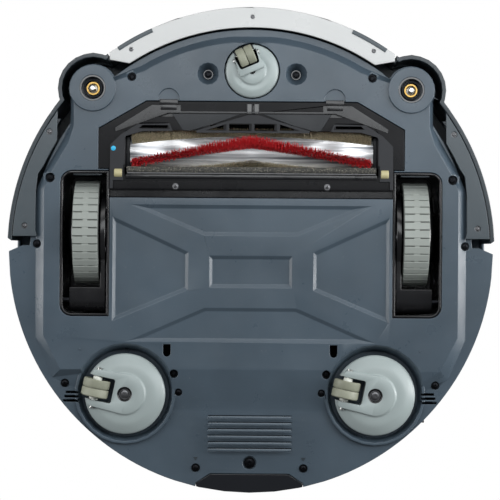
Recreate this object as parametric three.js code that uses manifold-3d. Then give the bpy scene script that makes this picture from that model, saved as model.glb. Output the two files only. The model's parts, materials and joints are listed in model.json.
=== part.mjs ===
// Round robot vacuum, seen as the maker builds it: a bottom pan, a top shell, a spring-loaded front
// bumper, two sprung drive wheels, three casters, a main brush under its frame, and a dust bin.
// Millimetres. +Z is up and the floor is z = 0. The front (bumper) is -Y, the rear is +Y.
import * as THREE from "three";
import { mergeVertices } from "three/addons/utils/BufferGeometryUtils.js";
import Module from "manifold-3d";

const wasm = await Module();
wasm.setup();

// ---------------------------------------------------------------- driving dimensions
const BODY_RADIUS = 177; // plan radius of the round body
const HEIGHT = 89; // floor to top plate
const BASE_Z = 9; // floor to the flat underside
const RIM_Z = 15; // floor to the raised rim of the underside
const SPLIT_Z = 26; // where the two shells meet
const WALL = 2.4; // moulded wall
const FLOOR_WALL = 2.5; // floor of the bottom pan
const GAP = 0.4; // clearance between fixed neighbours
const BUMPER_ROOM = 16; // bumper wall, its travel and its lip
const CORE_RADIUS = BODY_RADIUS - BUMPER_ROOM; // body behind the bumper
const POCKET_DEPTH = 1.6; // sunk panels of the underside

// A point at a distance inside the body's edge, rounded to a tenth of a millimetre.
function fromEdge(inset, degrees) {
  const angle = (degrees * Math.PI) / 180;
  const tenth = (value) => Math.round(value * 10) / 10;
  return [tenth((BODY_RADIUS - inset) * Math.cos(angle)), tenth((BODY_RADIUS - inset) * Math.sin(angle))];
}

const POST_INSET = 12.45; // side-brush spindles, from the body's edge
const POST_ANGLE = -45.42;
const [POST_X, POST_Y] = fromEdge(POST_INSET, POST_ANGLE);
const BOSS_RADIUS = 18;
const BOSS_DROP = 2; // boss stands below the underside by this
const CUP_RADIUS = 9.5;
const SPINDLE_RADIUS = 3.2;
const HORN_RADIUS = 25.6; // bumper round the side-brush corner

const BRUSH_Y = -71; // main brush
const BRUSH_Z = 23.5;
const BRUSH_HALF = 88.3;
const CORE_R = 12.5;
const BRISTLE_R = 19;
const CHAMBER_X = BRUSH_HALF + 9.7; // half width of the chamber, with a bearing at each end
const FRAME_X = CHAMBER_X + 5; // half width of the brush frame between the wheels

const WHEEL_RADIUS = 38;
const TYRE_WIDTH = 19;
const TYRE_DEPTH = 5;
const HUB_BULGE = 5.6;
const AXLE_RADIUS = 2.9;
const ARM_ROOM = 7.3; // from the wheel's inner face to the well's side
const HUB_ROOM = 3.1; // from the hub's bulge to the well's side
const WHEEL_X = FRAME_X + 0.2 + ARM_ROOM + TYRE_WIDTH / 2; // drive wheels
const WHEEL_Y = -12.7;
const WELL_X0 = WHEEL_X - TYRE_WIDTH / 2 - ARM_ROOM; // wheel wells
const WELL_X1 = WHEEL_X + TYRE_WIDTH / 2 + HUB_BULGE + HUB_ROOM;
const WELL_Y0 = WHEEL_Y - WHEEL_RADIUS - 6.5;
const WELL_Y1 = WHEEL_Y + WHEEL_RADIUS + 22.6;
const CASE_WALL = 1.6;
const CASE_TOP = 2 * WHEEL_RADIUS + 8.6;
const PIVOT_Y = WHEEL_Y + WHEEL_RADIUS + 11.7; // suspension pivot
const PIVOT_Z = 24;

const BUMPER_WALL = 3;
const BUMPER_Z0 = 11;
const BUMPER_Z1 = HEIGHT - 9.6;
const BUMPER_TRAVEL = 4;
const LIP_WIDTH = 14.8; // silver underside flange of the bumper
const LIP_HALF = 103.5; // half width of the silver front cover
const LIP_THICK = 2.4;
const COVER_Z1 = 50;
const LEDGE_WIDTH = 6;

const FRAME_OPEN_X = BRUSH_HALF + 3.7; // opening over the brush
const FRAME_OPEN_Y0 = -86.8;
const FRAME_OPEN_Y1 = -52.8;
const FRAME_THICK = 3.2;

const [REAR_CASTER_X, REAR_CASTER_Y] = fromEdge(38.49, 49.04); // rear casters
const REAR_BOWL_R = 34.5;
const REAR_DOME_R = 29.3;
const REAR_WHEEL_R = 9.75;
const REAR_WHEEL_W = 12.8;
const REAR_TRAIL = 21.5;
const REAR_TRAIL_ANGLE = 191.8; // degrees from +X to the trailing side
const FRONT_CASTER_Y = 30.7 - CORE_RADIUS; // front caster
const FRONT_DISH_R = 19.3;
const FRONT_HOLE_R = 20.3;
const FRONT_WHEEL_R = 7.3;
const FRONT_WHEEL_W = 12.3;
const FRONT_TRAIL = 11.2;
const FRONT_TRAIL_ANGLE = 246.9;
const BOWL_ROOF_Z = 22.5;

const BIN_X = 68; // dust bin, under the lid
const BIN_Y0 = -38;
const BIN_Y1 = 62;
const BIN_Z0 = 42;
const LID_MARGIN = 5;
const TOP_WALL = 2.6;

const ROUND = 60; // facets of the body circle
const SMALL = 14; // facets of small round things

// ---------------------------------------------------------------- solid helpers
function toSolid(geometry) {
  const flat = geometry.index ? geometry.toNonIndexed() : geometry;
  const bare = new THREE.BufferGeometry();
  bare.setAttribute("position", flat.getAttribute("position"));
  const merged = mergeVertices(bare, 1e-4);
  const kept = [];
  const index = merged.index.array;
  for (let i = 0; i < index.length; i += 3) {
    const [a, b, c] = [index[i], index[i + 1], index[i + 2]];
    if (a !== b && b !== c && c !== a) kept.push(a, b, c);
  }
  const corners = new Float32Array(merged.getAttribute("position").array);
  const mesh = new wasm.Mesh({
    numProp: 3,
    vertProperties: corners,
    triVerts: new Uint32Array(facingOut(corners, kept)),
  });
  return new wasm.Manifold(mesh);
}

// Turns the triangles round if they enclose a negative volume.
function facingOut(corners, index) {
  const at = (i) => new THREE.Vector3().fromArray(corners, 3 * i);
  let volume = 0;
  for (let i = 0; i < index.length; i += 3) {
    volume += at(index[i]).dot(at(index[i + 1]).cross(at(index[i + 2])));
  }
  return volume < 0 ? [...index].reverse() : index;
}

function toGeometry(solid) {
  const mesh = solid.getMesh();
  const geometry = new THREE.BufferGeometry();
  geometry.setAttribute("position", new THREE.BufferAttribute(new Float32Array(mesh.vertProperties), 3));
  geometry.setIndex(new THREE.BufferAttribute(new Uint32Array(mesh.triVerts), 1));
  return geometry;
}

// A frustum standing on z0, lower radius first.
function cone(lower, upper, z0, z1, x = 0, y = 0, facets = SMALL) {
  const shape = new THREE.CylinderGeometry(upper, lower, z1 - z0, facets);
  shape.rotateX(Math.PI / 2);
  shape.translate(x, y, (z0 + z1) / 2);
  return toSolid(shape);
}

function rod(radius, z0, z1, x = 0, y = 0, facets = SMALL) {
  return cone(radius, radius, z0, z1, x, y, facets);
}

// A rod lying along X.
function rodX(radius, x0, x1, y = 0, z = 0, facets = SMALL) {
  const shape = new THREE.CylinderGeometry(radius, radius, x1 - x0, facets);
  shape.rotateZ(Math.PI / 2);
  shape.translate((x0 + x1) / 2, y, z);
  return toSolid(shape);
}

function block(x0, x1, y0, y1, z0, z1) {
  const shape = new THREE.BoxGeometry(x1 - x0, y1 - y0, z1 - z0);
  shape.translate((x0 + x1) / 2, (y0 + y1) / 2, (z0 + z1) / 2);
  return toSolid(shape);
}

function outline(points) {
  return new THREE.Shape(points.map(([x, y]) => new THREE.Vector2(x, y)));
}

function prism(points, z0, z1) {
  const shape = new THREE.ExtrudeGeometry(outline(points), { depth: z1 - z0, bevelEnabled: false });
  shape.translate(0, 0, z0);
  return toSolid(shape);
}

// An outline drawn in the YZ plane and extruded along X.
function prismX(points, x0, x1) {
  const shape = new THREE.ExtrudeGeometry(outline(points), { depth: x1 - x0, bevelEnabled: false });
  const axes = new THREE.Matrix4().set(0, 0, 1, x0, 1, 0, 0, 0, 0, 1, 0, 0, 0, 0, 0, 1);
  shape.applyMatrix4(axes);
  return toSolid(shape);
}

// A tapered block between two outlines with the same number of corners.
function taper(lowerPoints, upperPoints, z0, z1) {
  const clockwise = THREE.ShapeUtils.isClockWise(outline(lowerPoints).getPoints());
  const lower = clockwise ? [...lowerPoints].reverse() : lowerPoints;
  const upper = clockwise ? [...upperPoints].reverse() : upperPoints;
  const count = lower.length;
  const corners = [
    ...lower.map(([x, y]) => [x, y, z0]),
    ...upper.map(([x, y]) => [x, y, z1]),
  ];
  const faces = [];
  for (let i = 0; i < count; i += 1) {
    const next = (i + 1) % count;
    faces.push([i, next, count + next], [i, count + next, count + i]);
  }
  const cap = (points) => THREE.ShapeUtils.triangulateShape(points.map(([x, y]) => new THREE.Vector2(x, y)), []);
  for (const [a, b, c] of cap(lower)) faces.push([a, c, b]);
  for (const [a, b, c] of cap(upper)) faces.push([count + a, count + b, count + c]);
  const positions = faces.flat().flatMap((corner) => corners[corner]);
  const shape = new THREE.BufferGeometry();
  shape.setAttribute("position", new THREE.Float32BufferAttribute(positions, 3));
  return toSolid(shape);
}

// A turned solid: [radius, z] points up its outside, closed on the axis.
function turned(profile, facets = SMALL, x = 0, y = 0) {
  const shape = new THREE.LatheGeometry(profile.map(([r, z]) => new THREE.Vector2(r, z)), facets);
  shape.rotateX(Math.PI / 2);
  shape.translate(x, y, 0);
  return toSolid(shape);
}

const join = (solids) => solids.reduce((whole, next) => whole.add(next));
const cut = (solid, tools) => tools.reduce((rest, tool) => rest.subtract(tool), solid);
const mirrorX = (solid) => solid.mirror([1, 0, 0]);
const bothSides = (solid) => solid.add(mirrorX(solid));
const flipX = (points) => points.map(([x, y]) => [-x, y]).reverse();

// Right-hand points of a symmetric outline, rear to front, completed on the left.
function symmetric(points) {
  return [...points, ...flipX(points)];
}

function arc(cx, cy, radius, from, to, steps) {
  const points = [];
  for (let i = 0; i <= steps; i += 1) {
    const angle = THREE.MathUtils.degToRad(from + ((to - from) * i) / steps);
    points.push([cx + radius * Math.cos(angle), cy + radius * Math.sin(angle)]);
  }
  return points;
}

// ---------------------------------------------------------------- the robot and its finishes
const robot = new THREE.Group();

const FINISH = {
  slate: { color: 0x525e68, roughness: 0.5, metalness: 0 },
  dark: { color: 0x2f3438, roughness: 0.5, metalness: 0 },
  black: { color: 0x1b1c1e, roughness: 0.45, metalness: 0 },
  silver: { color: 0xd6d8d9, roughness: 0.35, metalness: 0 },
  lightGrey: { color: 0xbec6c6, roughness: 0.45, metalness: 0 },
  tyre: { color: 0xa4a8a2, roughness: 0.8, metalness: 0 },
  casterTyre: { color: 0x898b7a, roughness: 0.7, metalness: 0 },
  bristle: { color: 0x81795f, roughness: 0.9, metalness: 0 },
  red: { color: 0xb32029, roughness: 0.8, metalness: 0 },
  steel: { color: 0xb8babc, roughness: 0.3, metalness: 1 },
  window: { color: 0x171a1f, roughness: 0.12, metalness: 0 },
  board: { color: 0x1f5a3a, roughness: 0.6, metalness: 0 },
  copper: { color: 0x70757a, roughness: 0.4, metalness: 0.8 },
  cell: { color: 0x2c4a78, roughness: 0.5, metalness: 0 },
  felt: { color: 0xd9d6cc, roughness: 0.95, metalness: 0 },
};

function add(name, solid, finish, parent = robot) {
  const mesh = new THREE.Mesh(toGeometry(solid), new THREE.MeshStandardMaterial(FINISH[finish]));
  mesh.name = name;
  parent.add(mesh);
  return mesh;
}

function groupAt(x, y, z, parent = robot) {
  const group = new THREE.Group();
  group.position.set(x, y, z);
  parent.add(group);
  return group;
}

// ---------------------------------------------------------------- plan shapes
const FAR = BODY_RADIUS + 60;
const NOTCH_X = BODY_RADIUS - 11.1; // inner point of the notch between bumper and rear body
const NOTCH_Y = -2.9;
const REAR_EDGE_SLOPE = 0.42; // the rear body's front edge, outwards
const BUMPER_EDGE_SLOPE = -0.7; // the bumper's rear edge, outwards

// The round body with the two side-brush corners, inset all round.
function planBody(inset, z0, z1) {
  const disc = rod(BODY_RADIUS - inset, z0, z1, 0, 0, ROUND);
  const horn = rod(HORN_RADIUS - inset, z0, z1, POST_X, POST_Y, 24);
  return disc.add(bothSides(horn));
}

// The body behind the bumper: a smaller disc with a boss round each side-brush spindle.
function planCore(inset, z0, z1) {
  const disc = rod(CORE_RADIUS - inset, z0, z1, 0, 0, ROUND);
  const boss = rod(BOSS_RADIUS - inset, z0, z1, POST_X, POST_Y, 24);
  return disc.add(bothSides(boss));
}

// Everything behind the notches.
function rearZone(setback, z0, z1) {
  const outer = NOTCH_Y + setback + REAR_EDGE_SLOPE * (FAR - NOTCH_X);
  return prism([[-FAR, outer], [-NOTCH_X, NOTCH_Y + setback], [NOTCH_X, NOTCH_Y + setback],
    [FAR, outer], [FAR, FAR], [-FAR, FAR]], z0, z1);
}

// Everything in front of the bumper's rear edges.
function bumperZone(z0, z1) {
  const inner = NOTCH_Y + 0.3 + 2;
  const outer = inner + BUMPER_EDGE_SLOPE * (FAR - NOTCH_X);
  return prism([[-FAR, outer], [-NOTCH_X, inner], [NOTCH_X, inner], [FAR, outer], [FAR, -FAR], [-FAR, -FAR]],
    z0, z1);
}

// The lowered middle of the underside: level 0 is its flat bottom, level 1 where its slope meets the rim.
function plateau(level, inset = 0) {
  const grow = 6 * level - inset;
  const side = BODY_RADIUS - 26.6 + grow;
  const front = CORE_RADIUS - 9.5 + grow * 0.8;
  return symmetric([
    [REAR_CASTER_X + 9.2, REAR_CASTER_Y - 18.1 + 28 * level - inset],
    [side - 12.4, REAR_CASTER_Y - 17.6 + grow],
    [side, REAR_CASTER_Y - 42.3 + grow * 0.3],
    [side, WELL_Y0 + 13.2],
    [POST_X + 29.5 + grow, POST_Y + 61.2],
    [POST_X + 17.5 + grow, POST_Y + 40.2],
    [POST_X + 13.5 + grow * 0.5, POST_Y + 27.2],
    [POST_X + 13.5 + grow * 0.5, POST_Y + 5.2],
    ...arc(0, 0, front, -59, -90, 6).slice(0, 6),
  ]);
}

// ---------------------------------------------------------------- bottom pan
const HOLE_R = 3.1;
const LOW_HOLES = [[POST_X - 28.2, POST_Y - 8.5, 3.3], [BODY_RADIUS - 30.9, POST_Y + 65.1, 3.6],
  [REAR_CASTER_X - 35.5, REAR_CASTER_Y - 14.9, 3.2]];
const HIGH_HOLES = [[REAR_CASTER_X - 38.8, REAR_CASTER_Y - 1.2, 2.8], [...fromEdge(10.9, 35.81), HOLE_R],
  [...fromEdge(13.92, 76.09), HOLE_R], [BODY_RADIUS - 21.4, -4, HOLE_R]];
const CONES = { x: 32, y: FRONT_CASTER_Y + 2.1, radius: 7.9, depth: 9 };
const SLOT = { x: 60.5, y: 72.8, width: 5.4, length: 9 };
const VENT = { y: BODY_RADIUS - 55.8, pitch: 4.72, count: 6, half: 30.4, width: 2.2 };
const DOCK = { inner: 28.4, y: BODY_RADIUS - 14.2, outer: 38.8, mid: BODY_RADIUS - 7.8 };
const REAR_SCREW = { y: BODY_RADIUS - 22.5, radius: 5, depth: 1.6 };
const CHAMBER = { x: CHAMBER_X, y0: -102, y1: -43.6, top: 58, wall: 2 };
const SHOULDER_X = FRAME_X + 7.7; // the frame widens in front of the wheel wells
const SHOULDER_Y = WELL_Y0 - 1.8;
const FRAME_NOSE_X = 76.5;
const FRAME_PLAN = symmetric([[FRAME_X, -43.8], [FRAME_X, SHOULDER_Y], [SHOULDER_X, SHOULDER_Y], [SHOULDER_X, -88],
  [FRAME_NOSE_X, -107.8]]);
const FRAME_HOLE = symmetric([[FRAME_X + 0.5, -38], [FRAME_X + 0.5, SHOULDER_Y + 0.4],
  [SHOULDER_X + 0.4, SHOULDER_Y + 0.4], [SHOULDER_X + 0.4, -88.3], [FRAME_NOSE_X + 0.1, -108.3]]);

function pocketOutlines() {
  const front = (d) => symmetric([[33.9 - 0.2 * d, -10.8 - d], [86.6 - 5 * d, -32.8 + d]]);
  const middle = (d) => symmetric([[30.2 - d, 27 - d], [30.2 - d, 3.8 + d]]);
  const rear = (d) => symmetric([[90.1 - 4.8 * d, 66.5 - d], [33.3 - 0.2 * d, 41.7 + d]]);
  const outer = WELL_X0 - 2.8;
  const side = (d) => [[45.4 + d, 1.3 + 0.6 * d], [outer - d, -24.2 + 1.6 * d], [outer - d, 51.7 - 1.5 * d],
    [45.4 + d, 28.7 - 0.7 * d]];
  return [front, middle, rear, side, (d) => flipX(side(d))];
}

function sunkPockets() {
  const slope = 2.4;
  return pocketOutlines().map((shape) => taper(shape(0), shape(slope), BASE_Z - 0.01, BASE_Z + POCKET_DEPTH));
}

function wellCut(grow, z0, z1) {
  const right = wellPrism(grow, z0, z1);
  return right.add(mirrorX(right));
}

function wellPrism(grow, z0, z1) {
  const x0 = WELL_X0 - grow;
  const x1 = WELL_X1 + grow;
  const y0 = WELL_Y0 - grow;
  const y1 = WELL_Y1 + grow;
  const r = 8 + grow;
  return prism([[x0, y0], ...arc(x1 - r, y0 + r, r, -90, 0, 4), ...arc(x1 - r, y1 - r, r, 0, 90, 4), [x0, y1]],
    z0, z1);
}

function bowl(x, y, radius, z0) {
  const profile = [[0, z0 - 8], [radius + 4, z0 - 8], [radius + 4, z0 - 2], [radius, z0 + 3],
    [radius - 2.4, BOWL_ROOF_Z], [0, BOWL_ROOF_Z]];
  return turned(profile, 26, x, y);
}

function towers(holes, z0) {
  return join(holes.map(([x, y, r]) => rod(r + 2, z0, SPLIT_Z, x, y, 6)));
}

function screwHoles() {
  return join([...LOW_HOLES, ...HIGH_HOLES].map(([x, y, r]) => rod(r, 0, RIM_Z + 7, x, y, 10)));
}

function sideSlots() {
  const x = REAR_CASTER_X + 33.7;
  const y = REAR_CASTER_Y - 1.6;
  const one = (i) => block(x, x + 9.5 + i, y + 3.1 * i, y + 1.7 + 3.1 * i, 0, 24);
  return join([one(0), one(1), one(2)]);
}

function bottomShell() {
  const floorZ = BASE_Z + POCKET_DEPTH + FLOOR_WALL;
  const rimFloorZ = RIM_Z + FLOOR_WALL;
  const body = join([
    planCore(0, RIM_Z, SPLIT_Z),
    planBody(0.7, RIM_Z, SPLIT_Z).intersect(rearZone(0, RIM_Z, SPLIT_Z)),
    taper(plateau(0), plateau(1), BASE_Z, RIM_Z + 0.01),
    bothSides(rod(BOSS_RADIUS - 1.2, BASE_Z - BOSS_DROP, SPLIT_Z, POST_X, POST_Y, 24)),
  ]);
  const hollow = join([
    planCore(WALL, rimFloorZ, SPLIT_Z + 1),
    planBody(0.7 + WALL, rimFloorZ, SPLIT_Z + 1).intersect(rearZone(WALL, rimFloorZ, SPLIT_Z + 1)),
    taper(plateau(0.2, 4), plateau(0.8, 4), floorZ, rimFloorZ + 0.01),
  ]);
  const raised = join([
    bothSides(rod(BOSS_RADIUS - 4, RIM_Z, SPLIT_Z, POST_X, POST_Y, 24)),
    bothSides(towers(LOW_HOLES, floorZ - 1)),
    bothSides(towers(HIGH_HOLES, RIM_Z + 0.5)),
    bothSides(rod(CONES.radius + 1.8, floorZ - 1, BASE_Z + CONES.depth + 3, CONES.x, CONES.y, 14)),
    bothSides(rod(REAR_BOWL_R + 2, floorZ - 1, SPLIT_Z, REAR_CASTER_X, REAR_CASTER_Y, 26)),
    rod(FRONT_HOLE_R + 2, floorZ - 1, SPLIT_Z, 0, FRONT_CASTER_Y, 24),
    wellCut(GAP + 2, floorZ - 1, SPLIT_Z),
  ]);
  const shell = cut(body, [hollow]).add(cut(raised, [wellCut(GAP, 0, SPLIT_Z + 2)]));
  const throughs = join([
    wellCut(GAP, 0, SPLIT_Z + 2),
    prism(FRAME_HOLE, 0, SPLIT_Z + 2),
    bothSides(bowl(REAR_CASTER_X, REAR_CASTER_Y, REAR_BOWL_R, BASE_Z)),
    bothSides(rod(4.6, 0, SPLIT_Z + 2, REAR_CASTER_X, REAR_CASTER_Y)),
    rod(FRONT_HOLE_R, 0, BOWL_ROOF_Z, 0, FRONT_CASTER_Y, 24),
    rod(4.6, 0, SPLIT_Z + 2, 0, FRONT_CASTER_Y),
    bothSides(rod(CUP_RADIUS, 0, RIM_Z + 5, POST_X, POST_Y, 20)),
    bothSides(rod(SPINDLE_RADIUS + GAP, 0, SPLIT_Z + 2, POST_X, POST_Y)),
    bothSides(cone(CONES.radius, 3.6, BASE_Z - 0.1, BASE_Z + CONES.depth, CONES.x, CONES.y, 14)),
    bothSides(screwHoles()),
    bothSides(uSlot()),
    bothSides(sideSlots()),
    ...ventSlits(),
    rod(REAR_SCREW.radius, 0, RIM_Z + REAR_SCREW.depth, 0, REAR_SCREW.y),
    dockPrism(GAP, 0, SPLIT_Z + 2),
  ]);
  return cut(shell, [throughs, ...sunkPockets()]);
}

function uSlot() {
  const half = SLOT.width / 2;
  const rear = SLOT.y + SLOT.length / 2 - half;
  const front = SLOT.y - SLOT.length / 2;
  return prism([[SLOT.x - half, front], [SLOT.x + half, front], ...arc(SLOT.x, rear, half, 0, 180, 8)], 0, 24);
}

function ventSlits() {
  const slits = [];
  for (let i = 0; i < VENT.count; i += 1) {
    const y = VENT.y + i * VENT.pitch;
    slits.push(block(-VENT.half, VENT.half, y - VENT.width / 2, y + VENT.width / 2, 0, 24));
  }
  return slits;
}

function dockPrism(grow, z0, z1) {
  const out = BODY_RADIUS + 5;
  const right = [[DOCK.outer + grow, out], [DOCK.outer + grow, DOCK.mid], [DOCK.inner + grow, DOCK.y - grow]];
  return prism(symmetric(right), z0, z1);
}

// ---------------------------------------------------------------- top shell, lid and controls
const LID_X = BIN_X + LID_MARGIN;
const LID_Y0 = BIN_Y0 - LID_MARGIN;
const LID_Y1 = BIN_Y1 + LID_MARGIN;
const LID_CORNER = 16;
const BUTTON_Y = -118;
const BUTTON_PITCH = 24;
const BUTTON_R = 7.5;
const PANEL = { x: 40, y0: -132, y1: -104 };
const LENS = { y: -82, radius: 13 };
const SOCKET = { y: 120, z: 36 };

function roundedRect(x0, x1, y0, y1, radius, steps = 5) {
  return [
    ...arc(x1 - radius, y0 + radius, radius, -90, 0, steps),
    ...arc(x1 - radius, y1 - radius, radius, 0, 90, steps),
    ...arc(x0 + radius, y1 - radius, radius, 90, 180, steps),
    ...arc(x0 + radius, y0 + radius, radius, 180, 270, steps),
  ];
}

function lidOutline(grow) {
  return roundedRect(-LID_X - grow, LID_X + grow, LID_Y0 - grow, LID_Y1 + grow, LID_CORNER + grow);
}

const CAP_Z0 = BUMPER_Z1 + 0.8; // underside of the skirt over the bumper
const PLATE_Z0 = HEIGHT - TOP_WALL;

function topShell() {
  const z0 = SPLIT_Z + 0.3;
  const rear = planBody(0, z0, HEIGHT).intersect(rearZone(0, z0, HEIGHT));
  const rearHollow = planBody(WALL, z0 - 1, PLATE_Z0).intersect(rearZone(WALL, z0 - 1, PLATE_Z0));
  const core = planCore(0, z0, HEIGHT);
  const coreHollow = planCore(WALL, z0 - 1, PLATE_Z0);
  const skirt = planBody(0, CAP_Z0, HEIGHT).subtract(planBody(WALL, CAP_Z0 - 1, PLATE_Z0));
  const shell = cut(join([rear, core]), [rearHollow, coreHollow]).add(skirt);
  return cut(shell, [
    prism(lidOutline(GAP), PLATE_Z0 - 1, HEIGHT + 1),
    prism(roundedRect(-PANEL.x, PANEL.x, PANEL.y0, PANEL.y1, 6), HEIGHT - 1.2, HEIGHT + 1),
    rod(LENS.radius, PLATE_Z0 - 1, HEIGHT + 1, 0, LENS.y, 24),
    ...buttonSpots().map((x) => rod(BUTTON_R + 0.35, PLATE_Z0 - 1, HEIGHT + 1, x, BUTTON_Y, 20)),
    block(BODY_RADIUS - 60, FAR, SOCKET.y - 6, SOCKET.y + 6, SOCKET.z - 5, SOCKET.z + 5),
    block(-FAR, 60 - BODY_RADIUS, SOCKET.y - 7, SOCKET.y + 7, SOCKET.z - 5, SOCKET.z + 5),
    dockPrism(GAP, z0 - 1, DOCK_TOP + GAP),
    ...rearGrille(),
  ]);
}

const DOCK_TOP = 50;
const GRILLE = { count: 5, pitch: 4.6, width: 2, half: 26, above: 6 };

function rearGrille() {
  const slots = [];
  for (let i = 0; i < GRILLE.count; i += 1) {
    const z = DOCK_TOP + GRILLE.above + i * GRILLE.pitch;
    slots.push(block(-GRILLE.half, GRILLE.half, BODY_RADIUS - 14, FAR, z, z + GRILLE.width));
  }
  return slots;
}

function dockWindow() {
  const whole = dockPrism(0, RIM_Z, DOCK_TOP).intersect(planBody(0.7, RIM_Z, DOCK_TOP));
  const hollow = dockPrism(-2, RIM_Z + 2.2, DOCK_TOP + 1).intersect(planBody(3.2, RIM_Z + 2.2, DOCK_TOP + 1));
  return whole.subtract(hollow);
}

const buttonSpots = () => [-BUTTON_PITCH, 0, BUTTON_PITCH];

// The lid lies flush in the top plate and turns about its rear edge.
function lid() {
  const plate = prism(lidOutline(0), PLATE_Z0, HEIGHT);
  const recess = prism(roundedRect(-14, 14, LID_Y0 + 3, LID_Y0 + 13, 4), HEIGHT - 1.4, HEIGHT + 1);
  return plate.subtract(recess);
}

// ---------------------------------------------------------------- bumper
const LIP_INNER = BODY_RADIUS - LIP_WIDTH;
const COVER_SKIN = 2.2;
const PLATE_IN = 3.4; // side plates lie this far inside the bumper's outer face
const PLATE_Z1 = BUMPER_Z0 + LIP_THICK;
const LIP_SCREWS = [fromEdge(7.2, -90), fromEdge(6.91, -58.8)];

// A zone in front of the body that widens slightly outwards.
function wedge(half, z0, z1) {
  const wide = half * 1.02;
  return prism([[-half, -60], [half, -60], [wide, -FAR], [-wide, -FAR]], z0, z1);
}

function frontCover() {
  const skin = rod(BODY_RADIUS, BUMPER_Z0, COVER_Z1, 0, 0, ROUND)
    .subtract(rod(BODY_RADIUS - COVER_SKIN, BUMPER_Z0 - 1, COVER_Z1 + 1, 0, 0, ROUND));
  const lip = rod(BODY_RADIUS - 0.5, BUMPER_Z0, PLATE_Z1, 0, 0, ROUND)
    .subtract(rod(LIP_INNER, BUMPER_Z0 - 1, PLATE_Z1 + 1, 0, 0, ROUND));
  const endY = 39 - BODY_RADIUS;
  const innerX = LIP_HALF - 15.8;
  const ends = prism([[-LIP_HALF, endY], [-innerX, endY + 3], [innerX, endY + 3], [LIP_HALF, endY],
    [LIP_HALF + 2, -FAR], [-LIP_HALF - 2, -FAR]], BUMPER_Z0 - 1, COVER_Z1 + 1);
  const pips = LIP_SCREWS.map(([x, y]) => bothSides(rod(1.6, BUMPER_Z0 - 1, PLATE_Z1 + 1, x, y, 12)));
  return cut(skin.add(lip).intersect(ends), pips);
}

// The bumper is one moulding, kept here as its front and its two side walls, which meet face to face.
const SIDE_WALL_Y = POST_Y + 22.2;

function bumperParts() {
  const whole = wholeBumper();
  const rightZone = block(60, FAR, SIDE_WALL_Y, FAR, 0, HEIGHT);
  return { front: cut(whole, [bothSides(rightZone)]), right: whole.intersect(rightZone) };
}

function wholeBumper() {
  const wall = planBody(0, BUMPER_Z0, BUMPER_Z1).subtract(planBody(BUMPER_WALL, BUMPER_Z0 - 1, BUMPER_Z1 + 1));
  const ledgeZ = PLATE_Z1 + 0.3;
  const ledge = planBody(0.5, ledgeZ, ledgeZ + 2.4)
    .subtract(rod(BODY_RADIUS - BUMPER_WALL - LEDGE_WIDTH, ledgeZ - 1, ledgeZ + 4, 0, 0, ROUND))
    .subtract(bothSides(rod(HORN_RADIUS - 2.2, ledgeZ - 1, ledgeZ + 4, POST_X, POST_Y, 24)))
    .intersect(block(-FAR, FAR, SIDE_WALL_Y, -13, ledgeZ - 1, ledgeZ + 4));
  const backing = rod(BODY_RADIUS - COVER_SKIN - 0.3, ledgeZ, COVER_Z1 + 3, 0, 0, ROUND)
    .subtract(rod(BODY_RADIUS - COVER_SKIN - 3, ledgeZ - 1, COVER_Z1 + 4, 0, 0, ROUND))
    .intersect(wedge(LIP_HALF + 3, ledgeZ - 1, COVER_Z1 + 4))
    .subtract(bothSides(rod(BOSS_RADIUS + BUMPER_TRAVEL + 1.2, ledgeZ - 1, COVER_Z1 + 4, POST_X, POST_Y, 24)));
  const coverSpace = wedge(LIP_HALF + 0.4, BUMPER_Z0 - 1, COVER_Z1 + 0.3)
    .subtract(rod(BODY_RADIUS - COVER_SKIN - 0.3, BUMPER_Z0 - 2, COVER_Z1 + 1, 0, 0, ROUND));
  const underLip = wedge(LIP_HALF + 0.4, BUMPER_Z0 - 1, ledgeZ);
  const sensors = [-40, 0, 40].map((turn) => sensorWindow(turn));
  const whole = wall.add(ledge).intersect(bumperZone(BUMPER_Z0 - 1, BUMPER_Z1 + 1));
  return cut(whole, [coverSpace, underLip]).add(backing).subtract(join(sensors));
}

const SENSOR = { width: 26, depth: 14, height: 9, z: 64, pane: 1.8 };

// A window for an obstacle sensor, turned round the body from straight ahead.
function sensorWindow(turn, gap = 0) {
  const shape = new THREE.BoxGeometry(SENSOR.width - 2 * gap, SENSOR.depth, SENSOR.height - 2 * gap);
  shape.translate(0, -BODY_RADIUS, SENSOR.z);
  shape.rotateZ(THREE.MathUtils.degToRad(turn));
  return toSolid(shape);
}

function sensorPane(turn) {
  const outer = BODY_RADIUS - GAP;
  const z0 = SENSOR.z - SENSOR.height;
  const z1 = SENSOR.z + SENSOR.height;
  const ring = rod(outer, z0, z1, 0, 0, ROUND).subtract(rod(outer - SENSOR.pane, z0 - 1, z1 + 1, 0, 0, ROUND));
  return sensorWindow(turn, GAP).intersect(ring);
}

const PLATE_REAR = -9.5;
const PLATE_FRONT = POST_Y + 14.2;
const PLATE_EDGE = [[BODY_RADIUS - 21.4, PLATE_REAR], [BODY_RADIUS - 20.2, -14.2], [BODY_RADIUS - 20.5, -41.9],
  [BODY_RADIUS - 21.9, POST_Y + 62.6], [POST_X + 35.7, POST_Y + 56.7], [POST_X + 31.1, POST_Y + 47.4],
  [POST_X + 25.9, POST_Y + 38.2], [POST_X + 25.5, PLATE_FRONT]];
const PLATE_SCREWS = [[POST_X + 31.5, POST_Y + 31.8], [BODY_RADIUS - 12.4, -17]];

function sidePlate() {
  const zone = prism([...PLATE_EDGE, [FAR, PLATE_FRONT], [FAR, PLATE_REAR]], BUMPER_Z0, PLATE_Z1);
  const plate = rod(BODY_RADIUS - PLATE_IN, BUMPER_Z0, PLATE_Z1, 0, 0, ROUND).intersect(zone);
  const holes = PLATE_SCREWS.map(([x, y]) => rod(2.2, BUMPER_Z0 - 1, PLATE_Z1 + 1, x, y, 12));
  return cut(plate, [...holes, rod(HORN_RADIUS + 0.3, BUMPER_Z0 - 1, PLATE_Z1 + 1, POST_X, POST_Y, 24)]);
}

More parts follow.
